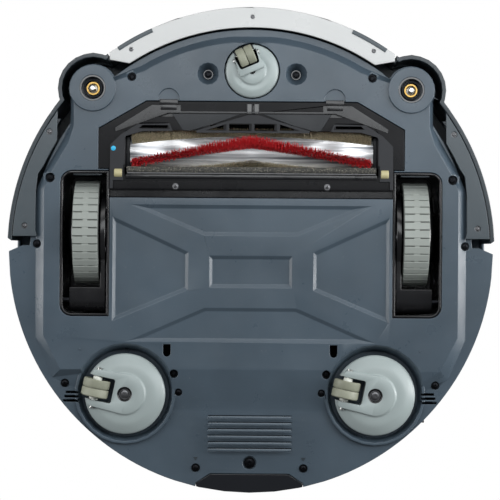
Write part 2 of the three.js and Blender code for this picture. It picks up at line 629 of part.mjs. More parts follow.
// ---------------------------------------------------------------- drive wheels and suspension
const HUB_X0 = WHEEL_X - TYRE_WIDTH / 2; // inner face of the wheel
const HUB_X1 = WHEEL_X + TYRE_WIDTH / 2;
const ARM_X0 = WELL_X0 + GAP + CASE_WALL + 0.6;
const ARM_X1 = HUB_X0 - 0.8;
const BORE_GAP = 0.3;
const PIVOT_R = 3;

function wheelCase() {
  const outer = wellPrism(-0.1, BASE_Z + 0.2, CASE_TOP);
  const inner = wellPrism(-CASE_WALL, BASE_Z - 1, CASE_TOP - CASE_WALL);
  const collar = rodX(PIVOT_R + 2.4, WELL_X0 + 1, WELL_X0 + GAP + CASE_WALL + 0.2, PIVOT_Y, PIVOT_Z);
  const hole = rodX(PIVOT_R + BORE_GAP, WELL_X0 - 1, WELL_X0 + 8, PIVOT_Y, PIVOT_Z);
  const blind = rodX(PIVOT_R + BORE_GAP, WELL_X1 - 3, WELL_X1 - 0.7, PIVOT_Y, PIVOT_Z);
  return cut(outer.subtract(inner).add(collar), [hole, blind]);
}

function suspensionArm() {
  const frontY = WHEEL_Y + WHEEL_RADIUS + 2.1;
  const backY = frontY + 1.4;
  const reach = WHEEL_RADIUS - 16;
  const boxEnd = prismX([[frontY, 15], [PIVOT_Y, 15], ...arc(PIVOT_Y, PIVOT_Z, 8.4, -80, 80, 8), [PIVOT_Y, 34],
    [backY, 44]], ARM_X0, WELL_X1 - CASE_WALL - 4.5);
  const web = prismX([[WHEEL_Y, WHEEL_RADIUS - reach], [frontY, 15], [PIVOT_Y, 20], [PIVOT_Y, 34], [backY, 44],
    [WHEEL_Y, WHEEL_RADIUS + reach]], ARM_X0, ARM_X1);
  const gearbox = rodX(WHEEL_RADIUS - 8, ARM_X0, ARM_X1, WHEEL_Y, WHEEL_RADIUS, 28);
  const shaft = rodX(AXLE_RADIUS, ARM_X1 - 1, HUB_X1 - 4, WHEEL_Y, WHEEL_RADIUS, 16);
  const bore = rodX(PIVOT_R + BORE_GAP, WELL_X0, WELL_X1, PIVOT_Y, PIVOT_Z);
  const wheelRoom = rodX(WHEEL_RADIUS + 1.5, ARM_X1, WELL_X1, WHEEL_Y, WHEEL_RADIUS, 36);
  return cut(join([boxEnd, web, gearbox]), [wheelRoom]).add(shaft).subtract(bore);
}

function hubSolid() {
  const r = WHEEL_RADIUS - TYRE_DEPTH;
  const bulge = HUB_BULGE;
  const half = TYRE_WIDTH / 2;
  const rim = r - 5;
  const boss = 8;
  const disc = turned([[0, -half], [r - 3, -half], [r, -half + 1.5], [r, half - 1], [r * 0.86, half + bulge * 0.35],
    [r * 0.5, half + bulge * 0.85], [0, half + bulge]], 28);
  const cavity = turned([[boss, -half - 1], [rim, -half - 1], [rim, half - 6], [boss, half - 6], [boss, -half - 1]], 16);
  return disc.subtract(cavity).subtract(rod(AXLE_RADIUS + BORE_GAP, -half - 1, half - 3.4, 0, 0, 16));
}

function tyreSolid() {
  const half = TYRE_WIDTH / 2;
  const r = WHEEL_RADIUS;
  const inner = r - TYRE_DEPTH + 0.3;
  return turned([[inner, -half + 2], [r - 2, -half], [r, -half + 2], [r, half - 2], [r - 2, half], [inner, half - 1.2],
    [inner, -half + 2]], 40);
}

// Wheel parts are drawn round +Z and turned so that +Z points outwards along X.
function addWheel(side, label) {
  const hub = groupAt(side * WHEEL_X, WHEEL_Y, WHEEL_RADIUS);
  hub.rotation.y = (side * Math.PI) / 2;
  add(`drive_wheel_hub_${label}`, hubSolid(), "black", hub);
  add(`drive_tyre_${label}`, tyreSolid(), "tyre", hub);
}

// ---------------------------------------------------------------- brush chamber, frame and main brush
function brushChamber() {
  const { x, y0, y1, top, wall } = CHAMBER;
  const tub = block(-x, x, y0 + 2, y1 + 4.8, 13, top).intersect(prism(FRAME_HOLE_INSET, 12, top));
  const room = block(-x + wall, x - wall, y0 + 2 + wall, y1 - 1, 12, top - wall);
  const mouth = block(-30, 30, y1 - 3, y1 + 6, 42, 52);
  const lip = prism(FRAME_HOLE_INSET, BASE_Z + FRAME_THICK + 0.6, BASE_Z + FRAME_THICK + 2.6);
  const lipHole = block(-x + 4, x - 4, -93, -50, 0, 30);
  return cut(tub, [room, mouth]).add(cut(lip, [lipHole]));
}

const FRAME_HOLE_INSET = symmetric([[FRAME_X + 0.1, -38.4], [FRAME_X + 0.1, SHOULDER_Y - 0.8],
  [SHOULDER_X, SHOULDER_Y - 0.8], [SHOULDER_X, -88.5], [FRAME_NOSE_X - 0.2, -107.9]]);

const GUIDE_X0 = FRAME_OPEN_X + 1.8; // guide rollers beside the opening
const GUIDE_X1 = FRAME_OPEN_X + 7.5;
const GUIDE_Y = -55.8;

function brushFrame() {
  const z1 = BASE_Z + FRAME_THICK;
  const plate = prism(FRAME_PLAN, BASE_Z, z1);
  const opening = prism(roundedRect(-FRAME_OPEN_X, FRAME_OPEN_X, FRAME_OPEN_Y0, FRAME_OPEN_Y1, 2, 2), 0, z1 + 1);
  const wedgeTop = prism(symmetric([[50, -85.4], [3.5, -98.5]]), BASE_Z - 1.2, BASE_Z + 1);
  const windows = [0, 1].map((i) => block(2 + i * 18.5, 16.4 + i * 14, -91.4, -87.4, 0, z1 + 1));
  const end = FRAME_OPEN_X - 4;
  const sideWindows = block(end - 27, end - 6, -92, -88.6, 0, z1 + 1);
  const sideGuard = prism([[end - 30.5, -85.4], [end - 27.5, -92.5], [end - 8, -92.5], [end, -85.4]], BASE_Z - 1.2,
    BASE_Z + 1);
  const slots = block(-2.9, -0.6, -106, -99.5, 0, z1 + 1);
  const latchHoles = prism(latchPlan(0.5, LATCH_TRAVEL), 0, z1 + 1);
  const rollerPocket = block(GUIDE_X0 - 0.6, GUIDE_X1 + 0.7, GUIDE_Y - 4.7, GUIDE_Y + 4.8, 0, z1 + 1);
  const body = cut(join([plate, wedgeTop, bothSides(sideGuard)]), [opening]);
  return cut(body, [join(windows.map(bothSides)), bothSides(sideWindows), bothSides(slots), bothSides(latchHoles),
    bothSides(rollerPocket)]);
}

const LATCH = { x: 60.3, y: -104.6, half: 7.1 };
const LATCH_TRAVEL = 2.5;

function latchPlan(grow, travel = 0) {
  const { x, y, half } = LATCH;
  const rear = y + 4.8 + grow + travel;
  return [[x - half - grow, y - grow], [x + half + grow, y - grow], [x + half + grow, rear],
    [x - half - grow, rear]];
}

function latch() {
  const { x, y } = LATCH;
  const slide = prism(latchPlan(0), BASE_Z + 0.2, BASE_Z + FRAME_THICK);
  const ridge = block(x - 5, x + 5, y + 1.4, y + 3, BASE_Z - 1, BASE_Z + 0.3);
  return slide.add(ridge);
}

// A soft strip under the rear edge of the brush, seated on the frame.
function squeegee() {
  const rear = FRAME_OPEN_Y1 + 2.6;
  return prismX([[-60.4, 5], [rear, 5], [rear, BASE_Z - 0.4], [-56.6, BASE_Z - 0.4], [-57.2, 7], [-60.4, 6.8]],
    -FRAME_OPEN_X + 1.5, FRAME_OPEN_X - 1.5);
}

function brushCore() {
  const core = rodX(CORE_R, -BRUSH_HALF, BRUSH_HALF, BRUSH_Y, BRUSH_Z, 24);
  const stubs = bothSides(rodX(2.6, BRUSH_HALF - 1, BRUSH_HALF + 5, BRUSH_Y, BRUSH_Z, 16));
  return core.add(stubs);
}

const ROW_TWIST = 61; // degrees from a row's ends to its middle

// Bristle rows wind round the roller in a V, as thin twisted walls just off the roller's skin.
function bristleRows(phases, height) {
  const steps = 12;
  const halfWidth = 1.1;
  const r0 = CORE_R + 0.3;
  const place = (x, angle, r) => [x, BRUSH_Y + r * Math.cos(angle), BRUSH_Z + r * Math.sin(angle)];
  const rows = phases.map((phase) => {
    const rings = [];
    for (let i = 0; i <= 2 * steps; i += 1) {
      const x = -BRUSH_HALF + 1 + ((BRUSH_HALF - 1) * i) / steps;
      const twist = THREE.MathUtils.degToRad(phase - ROW_TWIST * (1 - Math.abs(x) / BRUSH_HALF));
      const spread = halfWidth / r0;
      const tip = halfWidth / (r0 + height);
      rings.push([place(x, twist - spread, r0), place(x, twist + spread, r0),
        place(x, twist + tip, r0 + height), place(x, twist - tip, r0 + height)]);
    }
    return skin(rings);
  });
  return join(rows);
}

// A closed solid through four-cornered rings.
function skin(rings) {
  const faces = [];
  for (let i = 0; i + 1 < rings.length; i += 1) {
    for (let k = 0; k < 4; k += 1) {
      const next = (k + 1) % 4;
      faces.push(rings[i][k], rings[i][next], rings[i + 1][next], rings[i][k], rings[i + 1][next], rings[i + 1][k]);
    }
  }
  const first = rings[0];
  const last = rings[rings.length - 1];
  faces.push(first[0], first[2], first[1], first[0], first[3], first[2]);
  faces.push(last[0], last[1], last[2], last[0], last[2], last[3]);
  const shape = new THREE.BufferGeometry();
  shape.setAttribute("position", new THREE.Float32BufferAttribute(faces.flat(), 3));
  return toSolid(shape);
}

function bearingBlock() {
  const body = block(BRUSH_HALF + 0.6, CHAMBER.x - CHAMBER.wall - 0.4, BRUSH_Y - 9, BRUSH_Y + 9, 15.2, 33);
  return body.subtract(rodX(2.6 + BORE_GAP, BRUSH_HALF, BRUSH_HALF + 5.5, BRUSH_Y, BRUSH_Z, 16));
}

function guideRoller() {
  return rodX(3.2, GUIDE_X0, GUIDE_X1, GUIDE_Y, BASE_Z - 0.2, 20);
}

// ---------------------------------------------------------------- casters
// Drawn with the swivel axis on +Z and the wheel trailing along +X.
const STEM_R = 4;
const AXLE_R = 1.5;

function yRod(radius, half, x, z, facets = SMALL) {
  const shape = new THREE.CylinderGeometry(radius, radius, 2 * half, facets);
  shape.translate(x, 0, z);
  return toSolid(shape);
}

const CASTERS = {
  rear: { r: REAR_WHEEL_R, width: REAR_WHEEL_W, trail: REAR_TRAIL, side: 2.6, arm: 5.4, dish: REAR_DOME_R,
    rimZ: 12.5, hubZ: 6.2, hubR: 14.5, slotStart: 8.5 },
  front: { r: FRONT_WHEEL_R, width: FRONT_WHEEL_W, trail: FRONT_TRAIL, side: 1.4, arm: 3.2, dish: FRONT_DISH_R,
    rimZ: 9.6, hubZ: 6, hubR: 9.5, slotStart: 2.6 },
};

function casterFork(size) {
  const { r, width, trail, side, arm, dish, rimZ, hubZ, hubR, slotStart } = size;
  const roof = BOWL_ROOF_Z - 1;
  const dome = turned([[0, hubZ], [hubR, hubZ], [hubR + 1, hubZ + 1.6], [dish * 0.8, rimZ - 2.4], [dish, rimZ],
    [dish, rimZ + 1.6], [hubR + 1, rimZ + 1.6], [hubR, roof], [0, roof]], 26);
  const slotHalf = width / 2 + side;
  const arms = block(0, trail + r * 0.42, -slotHalf - arm, slotHalf + arm, r - 3.6, rimZ + 1);
  const wheelSlot = block(slotStart, trail + r + 12, -slotHalf, slotHalf, -1, roof + 2);
  const stem = rod(STEM_R, roof - 1, SPLIT_Z + 1.4);
  const cup = rod(size.arm, hubZ - 1, hubZ + 3, 0, 0, 20);
  const axleHole = yRod(AXLE_R + 0.3, 60, trail, r, 14);
  const whole = cut(dome.add(arms), [wheelSlot]).add(stem);
  return cut(whole, [cup, axleHole]);
}

function casterWheel(size) {
  const { r, width, side } = size;
  const half = width / 2;
  const collar = half + side - 0.4;
  return turned([[AXLE_R + 0.3, -collar], [3.4, -collar], [3.4, -half], [r, -half + 0.6], [r, half - 0.6],
    [3.4, half], [3.4, collar], [AXLE_R + 0.3, collar], [AXLE_R + 0.3, -collar]], 20);
}

function addCaster(name, size, x, y, angle) {
  const swivel = groupAt(x, y, 0);
  swivel.rotation.z = THREE.MathUtils.degToRad(angle);
  add(`${name}_fork`, casterFork(size), "lightGrey", swivel);
  const axle = groupAt(size.trail, 0, size.r, swivel);
  axle.rotation.x = Math.PI / 2;
  const half = size.width / 2 + size.side + size.arm - 0.5;
  add(`${name}_axle`, rod(AXLE_R, -half, half, 0, 0, 14), "steel", axle);
  add(`${name}_wheel`, casterWheel(size), "casterTyre", axle);
}

// ---------------------------------------------------------------- side-brush spindles and what is inside
function spindle() {
  const shaft = SPINDLE_RADIUS - 0.2;
  return turned([[0, BASE_Z - 2.4], [1.5, BASE_Z - 2], [2.2, BASE_Z], [2.2, RIM_Z + 1.5], [4.7, RIM_Z + 2],
    [4.7, RIM_Z + 4.4], [shaft, RIM_Z + 4.6], [shaft, SPLIT_Z + 3], [0, SPLIT_Z + 3]], 14);
}

function sideMotor() {
  return rod(12, SPLIT_Z + 3.5, 60, 0, 0, 24).add(rod(5, 59, 64));
}

function fanUnit() {
  const end = BODY_RADIUS - 29;
  const y = end - 43;
  const scroll = rod(30, 24, 62, 0, y, 36).add(block(-28, 28, y, end, 24, 50));
  const eye = rod(13, 50, 64, 0, y, 24);
  const outlet = block(-25, 25, y + 15, end - 2, 20, 46);
  return cut(scroll, [eye, outlet]);
}

function binBody() {
  const wall = 2;
  const outer = prism(roundedRect(-BIN_X, BIN_X, BIN_Y0, BIN_Y1, 10, 4), BIN_Z0, PLATE_Z0 - 5);
  const room = roundedRect(-BIN_X + wall, BIN_X - wall, BIN_Y0 + wall, BIN_Y1 - 8, 8, 4);
  const inner = prism(room, BIN_Z0 + wall, HEIGHT + 1);
  const mouth = block(-29, 29, BIN_Y0 - 2, BIN_Y0 + 5, BIN_Z0 + 3, BIN_Z0 + 18);
  const filterSeat = block(-45, 45, BIN_Y1 - 6.5, BIN_Y1 + 1, BIN_Z0 + 6, PLATE_Z0 - 9);
  const air = block(-41, 41, BIN_Y1 - 12, BIN_Y1, BIN_Z0 + 10, PLATE_Z0 - 13);
  return cut(outer, [inner, mouth, filterSeat, air]);
}

function binDoor() {
  return prism(roundedRect(-BIN_X, BIN_X, BIN_Y0, BIN_Y1, 10, 4), PLATE_Z0 - 4.6, PLATE_Z0 - 2.4);
}

function filter() {
  const frame = block(-44.6, 44.6, BIN_Y1 - 6.1, BIN_Y1 - 0.6, BIN_Z0 + 6.4, PLATE_Z0 - 9.4);
  const pleats = [];
  for (let x = -38; x <= 38; x += 7.6) {
    pleats.push(block(x - 1.6, x + 1.6, BIN_Y1 - 7, BIN_Y1 - 3.2, BIN_Z0 + 10, PLATE_Z0 - 13));
  }
  return cut(frame, pleats);
}

function button(x) {
  return rod(BUTTON_R, HEIGHT - 5, HEIGHT - 0.1, x, BUTTON_Y, 20);
}

function controlPanel() {
  const plate = prism(roundedRect(-PANEL.x + 0.3, PANEL.x - 0.3, PANEL.y0 + 0.3, PANEL.y1 - 0.3, 5.7),
    HEIGHT - 0.9, HEIGHT - 0.1);
  return cut(plate, buttonSpots().map((x) => rod(BUTTON_R + 0.35, HEIGHT - 2, HEIGHT + 1, x, BUTTON_Y, 20)));
}

function cameraLens() {
  const rim = LENS.radius - GAP;
  const profile = [[0, PLATE_Z0 - 18], [9, PLATE_Z0 - 18], [9, PLATE_Z0 - 0.6], [rim, PLATE_Z0 - 0.6],
    [rim, HEIGHT - 0.3], [LENS.radius - 2.5, HEIGHT - 0.3], [7, HEIGHT - 1.6], [0, HEIGHT - 1]];
  return turned(profile, 24, 0, LENS.y);
}

function chargeSocket() {
  const x = Math.sqrt((BODY_RADIUS - WALL) ** 2 - SOCKET.y ** 2);
  const body = block(x - 16, x + 1.4, SOCKET.y - 5.6, SOCKET.y + 5.6, SOCKET.z - 4.6, SOCKET.z + 4.6);
  const shape = new THREE.CylinderGeometry(3.2, 3.2, 12, 18);
  shape.rotateZ(Math.PI / 2);
  shape.translate(x - 3, SOCKET.y, SOCKET.z);
  return body.subtract(toSolid(shape));
}

function powerSwitch() {
  const x = Math.sqrt((BODY_RADIUS - WALL) ** 2 - SOCKET.y ** 2);
  return block(-x - 1.5, -x + 9, SOCKET.y - 6.6, SOCKET.y + 0.5, SOCKET.z - 4.6, SOCKET.z + 4.6);
}

const BATTERY = { half: 66, y0: -32, y1: 40, z0: 14.5, z1: 40 };
const BRUSH_MOTOR = { radius: 12, x0: 40, x1: 90, y: -116.5, z: 46 };
const BOARD = { half: 70, y0: -140, y1: -108, z: 66, thick: 2 };

// ---------------------------------------------------------------- assembly
add("bottom_shell", bottomShell(), "slate");
add("top_shell", topShell(), "slate");
add("dock_window", dockWindow(), "window");
const bumper = bumperParts();
add("bumper_shell", bumper.front, "dark");
add("bumper_wall_right", bumper.right, "dark");
add("bumper_wall_left", mirrorX(bumper.right), "dark");
add("bumper_front_cover", frontCover(), "silver");
add("bumper_sensor_window", sensorPane(0), "window");

for (const [side, label] of [[1, "right"], [-1, "left"]]) {
  const at = (solid) => (side > 0 ? solid : mirrorX(solid));
  add(`bumper_side_plate_${label}`, at(sidePlate()), "dark");
  add(`wheel_case_${label}`, at(wheelCase()), "black");
  add(`suspension_arm_${label}`, at(suspensionArm()), "black");
  add(`suspension_pin_${label}`, at(rodX(PIVOT_R, WELL_X0 + 0.2, WELL_X1 - 1, PIVOT_Y, PIVOT_Z)), "steel");
  addWheel(side, label);
  add(`brush_latch_${label}`, at(latch()), "black");
  add(`guide_roller_${label}`, at(guideRoller()), "bristle");
  add(`brush_bearing_${label}`, at(bearingBlock()), "black");
  add(`side_brush_spindle_${label}`, spindle(), "steel").position.set(side * POST_X, POST_Y, 0);
  add(`side_brush_motor_${label}`, sideMotor(), "copper").position.set(side * POST_X, POST_Y, 0);
  addCaster(`rear_caster_${label}`, CASTERS.rear, side * REAR_CASTER_X, REAR_CASTER_Y, REAR_TRAIL_ANGLE);
}
addCaster("front_caster", CASTERS.front, 0, FRONT_CASTER_Y, FRONT_TRAIL_ANGLE);

add("brush_chamber", brushChamber(), "black");
add("brush_frame", brushFrame(), "black");
add("squeegee", squeegee(), "felt");
add("brush_core", brushCore(), "silver");
add("bristles_red", bristleRows([304], BRISTLE_R - CORE_R - 0.3), "red");
add("bristles_beige", bristleRows([228], BRISTLE_R - CORE_R - 0.3), "bristle");

add("fan_unit", fanUnit(), "dark");
add("battery_pack", block(-BATTERY.half, BATTERY.half, BATTERY.y0, BATTERY.y1, BATTERY.z0, BATTERY.z1), "cell");
add("brush_motor", rodX(BRUSH_MOTOR.radius, BRUSH_MOTOR.x0, BRUSH_MOTOR.x1, BRUSH_MOTOR.y, BRUSH_MOTOR.z, 24), "copper");
add("main_board", block(-BOARD.half, BOARD.half, BOARD.y0, BOARD.y1, BOARD.z, BOARD.z + BOARD.thick), "board");
add("dust_bin_body", binBody(), "dark");
add("dust_bin_door", binDoor(), "window");
add("dust_filter", filter(), "felt");
add("lid", lid(), "silver");
add("control_panel", controlPanel(), "window");
add("camera_lens", cameraLens(), "window");
add("charge_socket", chargeSocket(), "black");
add("power_switch", powerSwitch(), "silver");
buttonSpots().forEach((x, i) => add(`button_${["home", "start", "mode"][i]}`, button(x), "silver"));

robot.updateMatrixWorld(true);
export default robot;
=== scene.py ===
# %% [markdown]
# # A round robot vacuum, seen from underneath
# The robot's frame, wheels, brush and bumper come from a CAD model that is loaded first and never moved.
# Each cell after that makes one piece or one finish of the real machine, with bmesh operators and
# node materials, and hangs it on the CAD body that it moves with. Lengths are metres, +Z is up, and
# the bumper points to -Y.

import json
import random
from math import cos, pi, radians, sin

import bmesh
import bpy
from mathutils import Matrix, Vector


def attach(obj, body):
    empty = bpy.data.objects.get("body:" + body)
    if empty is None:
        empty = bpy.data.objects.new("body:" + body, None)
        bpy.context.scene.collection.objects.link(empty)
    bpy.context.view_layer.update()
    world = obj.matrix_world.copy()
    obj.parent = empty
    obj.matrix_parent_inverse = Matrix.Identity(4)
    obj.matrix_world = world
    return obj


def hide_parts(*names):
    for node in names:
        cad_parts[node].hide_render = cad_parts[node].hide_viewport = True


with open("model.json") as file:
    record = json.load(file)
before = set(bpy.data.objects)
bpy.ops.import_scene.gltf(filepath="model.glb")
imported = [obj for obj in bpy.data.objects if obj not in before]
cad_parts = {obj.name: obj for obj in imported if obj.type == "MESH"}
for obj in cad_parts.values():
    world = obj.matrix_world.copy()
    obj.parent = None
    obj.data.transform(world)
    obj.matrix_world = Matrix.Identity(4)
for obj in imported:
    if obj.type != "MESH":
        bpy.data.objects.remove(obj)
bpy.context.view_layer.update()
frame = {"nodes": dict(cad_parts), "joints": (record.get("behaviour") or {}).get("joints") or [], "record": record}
NODES = frame["nodes"]
JOINTS = {joint["name"]: joint for joint in frame["joints"]}
MM = 0.001
SIDES = {"left": -1, "right": 1}


def add_object(name, data):
    thing = bpy.data.objects.new(name, data)
    bpy.context.scene.collection.objects.link(thing)
    return thing


# %% [markdown]
# ## The viewpoint
# The robot is looked at from straight underneath, with a long lens, so that its far rim hardly
# shrinks. A camera below the floor needs a floor that only shows from above. The lens sees 13 degrees.

# %% Camera
UNDERSIDE_Z = 9 * MM
camera_data = bpy.data.cameras.new("camera")
camera_data.angle = radians(13.2)
camera_data.clip_end = 20
camera = add_object("camera", camera_data)
camera.rotation_euler = (pi, 0, radians(-0.41))
camera.location = (-0.65 * MM, -0.5 * MM, UNDERSIDE_Z - 1.567)
bpy.context.scene.camera = camera

# %% [markdown]
# ## Stage and light
# Six soft boxes light the underside: a pair at the sides, stronger towards +X, a grazing pair for the
# rims, one in front, and one close by so that the front of the pan is brighter than the rear. Two
# more hang above for the top. The floor is a plain pale sheet that only camera rays from above can
# meet, so it neither hides nor darkens the underside.

# %% Node helpers


def node_tree(name):
    material = bpy.data.materials.new(name)
    material.use_nodes = True
    tree = material.node_tree
    tree.nodes.clear()
    return material, tree


def add_node(tree, kind, **inputs):
    node = tree.nodes.new(f"ShaderNode{kind}")
    for key, value in inputs.items():
        node.inputs[key.replace("_", " ")].default_value = value
    return node


def wire(source, output, target, socket):
    """Links one node's output to another node's input."""
    source.id_data.links.new(source.outputs[output], target.inputs[socket])


# %% Floor
FLOOR_HALF = 3.0


def make_floor():
    bm = bmesh.new()
    bmesh.ops.create_grid(bm, x_segments=1, y_segments=1, size=FLOOR_HALF)
    mesh = bpy.data.meshes.new("floor")
    bm.to_mesh(mesh)
    bm.free()
    floor = add_object("floor", mesh)
    material, tree = node_tree("floor_paper")
    output = add_node(tree, "OutputMaterial")
    mix = add_node(tree, "MixShader")
    clear = add_node(tree, "BsdfTransparent")
    paper = add_node(tree, "BsdfDiffuse", Color=(0.82, 0.82, 0.82, 1))
    path = add_node(tree, "LightPath")
    geometry = add_node(tree, "NewGeometry")
    facing = add_node(tree, "Math")
    facing.operation = "SUBTRACT"
    facing.use_clamp = True
    wire(path, "Is Camera Ray", facing, 0)
    wire(geometry, "Backfacing", facing, 1)
    wire(facing, 0, mix, 0)
    wire(clear, 0, mix, 1)
    wire(paper, 0, mix, 2)
    wire(mix, 0, output, "Surface")
    mesh.materials.append(material)
    floor.location.z = -0.2 * MM


make_floor()

# %% Soft boxes


def soft_box(name, place, target, size, watts, tint):
    data = bpy.data.lights.new(name, "AREA")
    data.shape = "RECTANGLE"
    data.size = size[0]
    data.size_y = size[1]
    data.energy = watts
    data.color = tint
    light = add_object(name, data)
    light.location = place
    direction = Vector(target) - Vector(place)
    light.rotation_euler = direction.to_track_quat("-Z", "Y").to_euler()
    light.visible_camera = False


COOL = (0.95, 0.98, 1.0)
NEUTRAL = (1.0, 1.0, 1.0)
soft_box("under_right", (1.0, -0.4, -0.6), (0.1, -0.05, 0), (0.7, 1.1), 9, COOL)
soft_box("under_left", (-1.0, -0.35, -0.6), (-0.1, -0.05, 0), (0.5, 1.0), 4, NEUTRAL)
soft_box("edge_right", (1.15, 0.0, -0.2), (0.1, 0, 0), (0.3, 1.0), 10, NEUTRAL)
soft_box("edge_left", (-1.15, 0.0, -0.2), (-0.1, 0, 0), (0.3, 1.0), 5, NEUTRAL)
soft_box("under_front", (0.05, -1.2, -0.8), (0, -0.1, 0), (1.4, 0.5), 4.5, NEUTRAL)
soft_box("under_near", (0.02, -0.26, -0.7), (0, -0.1, 0), (0.8, 0.3), 2.4, COOL)
soft_box("over_key", (-0.9, -1.2, 1.5), (0, 0, 0.05), (1.1, 1.1), 26, (1, 0.99, 0.97))
soft_box("over_fill", (1.3, 0.9, 1.2), (0, 0, 0.05), (1.2, 1.2), 14, COOL)

# %% Surroundings


def make_world():
    world = bpy.data.worlds.new("studio")
    world.use_nodes = True
    tree = world.node_tree
    tree.nodes.clear()
    output = add_node(tree, "OutputWorld")
    mix = add_node(tree, "MixShader")
    path = add_node(tree, "LightPath")
    seen = add_node(tree, "Background", Color=(1, 1, 1, 1), Strength=1.0)
    light = add_node(tree, "Background", Color=(0.92, 0.96, 1, 1), Strength=0.15)
    wire(path, "Is Camera Ray", mix, 0)
    wire(light, 0, mix, 1)
    wire(seen, 0, mix, 2)
    wire(mix, 0, output, "Surface")
    bpy.context.scene.world = world


make_world()
bpy.context.scene.view_settings.view_transform = "Standard"

# %% [markdown]
# ## Finishes
# Moulded plastic is never one flat colour: the tool's spark-eroded texture scatters the light, use
# leaves faint dust and rubbed patches, and edges polish. `plastic` makes the texture, the dust and the
# rubbed patches from noise on Object coordinates, so the pattern stays on the part when it moves. Values
# that are the same all over go straight on the shader's own sockets.

# %% Plastic


def linear(rgb):
    """Screen colour 0-255 to the linear light that the shader wants."""
    return tuple(((c / 255 + 0.055) / 1.055) ** 2.4 if c > 10 else c / 255 / 12.92 for c in rgb)


def rgba(rgb):
    return (*linear(rgb), 1)


def noise(tree, coords, scale, detail=3.0, rough=0.55):
    node = add_node(tree, "TexNoise", Scale=scale, Detail=detail, Roughness=rough)
    wire(coords, "Object", node, "Vector")
    return node


def ramp(tree, source, low, high, start=0.4, end=0.6):
    node = add_node(tree, "ValToRGB")
    node.color_ramp.elements[0].position = start
    node.color_ramp.elements[1].position = end
    node.color_ramp.elements[0].color = low
    node.color_ramp.elements[1].color = high
    wire(source, "Fac", node, 0)
    return node


def grey(level):
    return (level, level, level, 1)


def principled(name, **inputs):
    """A new material with its tree, its shader and its coordinates."""
    material, tree = node_tree(name)
    output = add_node(tree, "OutputMaterial")
    shader = add_node(tree, "BsdfPrincipled", **inputs)
    coords = add_node(tree, "TexCoord")
    wire(shader, 0, output, "Surface")
    return material, tree, shader, coords


def streaks(tree, coords, stretch, **inputs):
    """Noise that is drawn out along the piece."""
    mapping = add_node(tree, "Mapping", Scale=stretch)
    wire(coords, "Object", mapping, "Vector")
    lines = add_node(tree, "TexNoise", **inputs)
    wire(mapping, "Vector", lines, "Vector")
    return lines


def plastic(name, rgb, roughness=0.42, grain=0.06, dust=0.06, coat=0.0, grain_scale=1400, spread=0.08,
                    shine=0.5):
    """Cloudy plastic with dust specks, rubbed patches and a fine moulded grain."""
    material, tree, shader, coords = principled(name, IOR=1.5, Coat_Weight=coat, Coat_Roughness=0.12,
                                                Specular_IOR_Level=shine)
    base = Vector(linear(rgb))
    clouds = noise(tree, coords, 14, 4)
    darker = (*(base * (1 - spread)), 1)
    lighter = (*(base * (1 + spread)), 1)
    tone = ramp(tree, clouds, darker, lighter, 0.3, 0.7)
    specks = noise(tree, coords, 420, 5, 0.7)
    dusty = ramp(tree, specks, grey(0), grey(1), 0.64, 0.78)
    mix = add_node(tree, "Mix")
    mix.data_type = "RGBA"
    strength = add_node(tree, "Math")
    strength.operation = "MULTIPLY"
    strength.inputs[1].default_value = dust
    wire(dusty, "Color", strength, 0)
    wire(strength, 0, mix, "Factor")
    wire(tone, "Color", mix, "A")
    mix.inputs["B"].default_value = (0.55, 0.55, 0.52, 1)
    wire(mix, "Result", shader, "Base Color")
    rub = noise(tree, coords, 38, 5, 0.65)
    gloss = ramp(tree, rub, grey(roughness - 0.05), grey(roughness + 0.07), 0.35, 0.68)
    wire(gloss, "Color", shader, "Roughness")
    texture = noise(tree, coords, grain_scale, 2)
    bump = add_node(tree, "Bump", Strength=grain * 2, Distance=0.0002)
    wire(texture, "Fac", bump, "Height")
    wire(bump, "Normal", shader, "Normal")
    return material


SLATE = plastic("slate_plastic", (66, 78, 88), 0.32, 0.06, 0.12, spread=0.16)
DARK = plastic("dark_slate_plastic", (46, 53, 58), 0.34, 0.05, 0.10)
PLATE = plastic("side_plate_plastic", (66, 74, 79), 0.32, 0.05, 0.08)
BLACK = plastic("black_plastic", (20, 20, 22), 0.24, 0.04, 0.08, coat=0.2)
MATTE_BLACK = plastic("matte_black_plastic", (42, 43, 46), 0.45, 0.08, 0.06, shine=0.25)
SILVER = plastic("silver_paint", (190, 191, 190), 0.30, 0.02, 0.02, coat=0.25, spread=0.02)
DOME = plastic("light_grey_plastic", (150, 160, 159), 0.34, 0.03, 0.06, spread=0.05)
FRAME_BLACK = plastic("frame_black_plastic", (18, 18, 20), 0.3, 0.04, 0.05, shine=0.15)
GLOSS_BLACK = plastic("gloss_black_plastic", (12, 12, 13), 0.12, 0.01, 0.05, coat=0.8)
SMOKED = plastic("smoked_window", (16, 18, 23), 0.08, 0.0, 0.02, coat=0.8)
TYRE_RUBBER = plastic("tyre_rubber", (144, 149, 144), 0.62, 0.14, 0.18, grain_scale=900, spread=0.08)
# The carcass is darker than the tread as painted shade in the grooves between the bars.
GROOVE_SHADE_CARCASS = plastic("tyre_carcass_painted_groove_shade", (84, 87, 84), 0.75, 0.1, 0.1)
ROLLER = plastic("roller_plastic", (137, 139, 122), 0.50, 0.08, 0.22, spread=0.10)
NYLON = plastic("white_nylon", (214, 216, 208), 0.45, 0.04, 0.05, spread=0.03)


def metal(name, rgb, roughness=0.28):
    material, tree, shader, coords = principled(name, Metallic=1.0)
    lines = streaks(tree, coords, (1, 1, 12), Scale=600, Detail=4)
    base = Vector(linear(rgb))
    tone = ramp(tree, lines, (*(base * 0.8), 1), (*base, 1), 0.3, 0.6)
    gloss = ramp(tree, lines, grey(roughness - 0.08), grey(roughness + 0.1), 0.3, 0.7)
    wire(tone, "Color", shader, "Base Color")
    wire(gloss, "Color", shader, "Roughness")
    return material


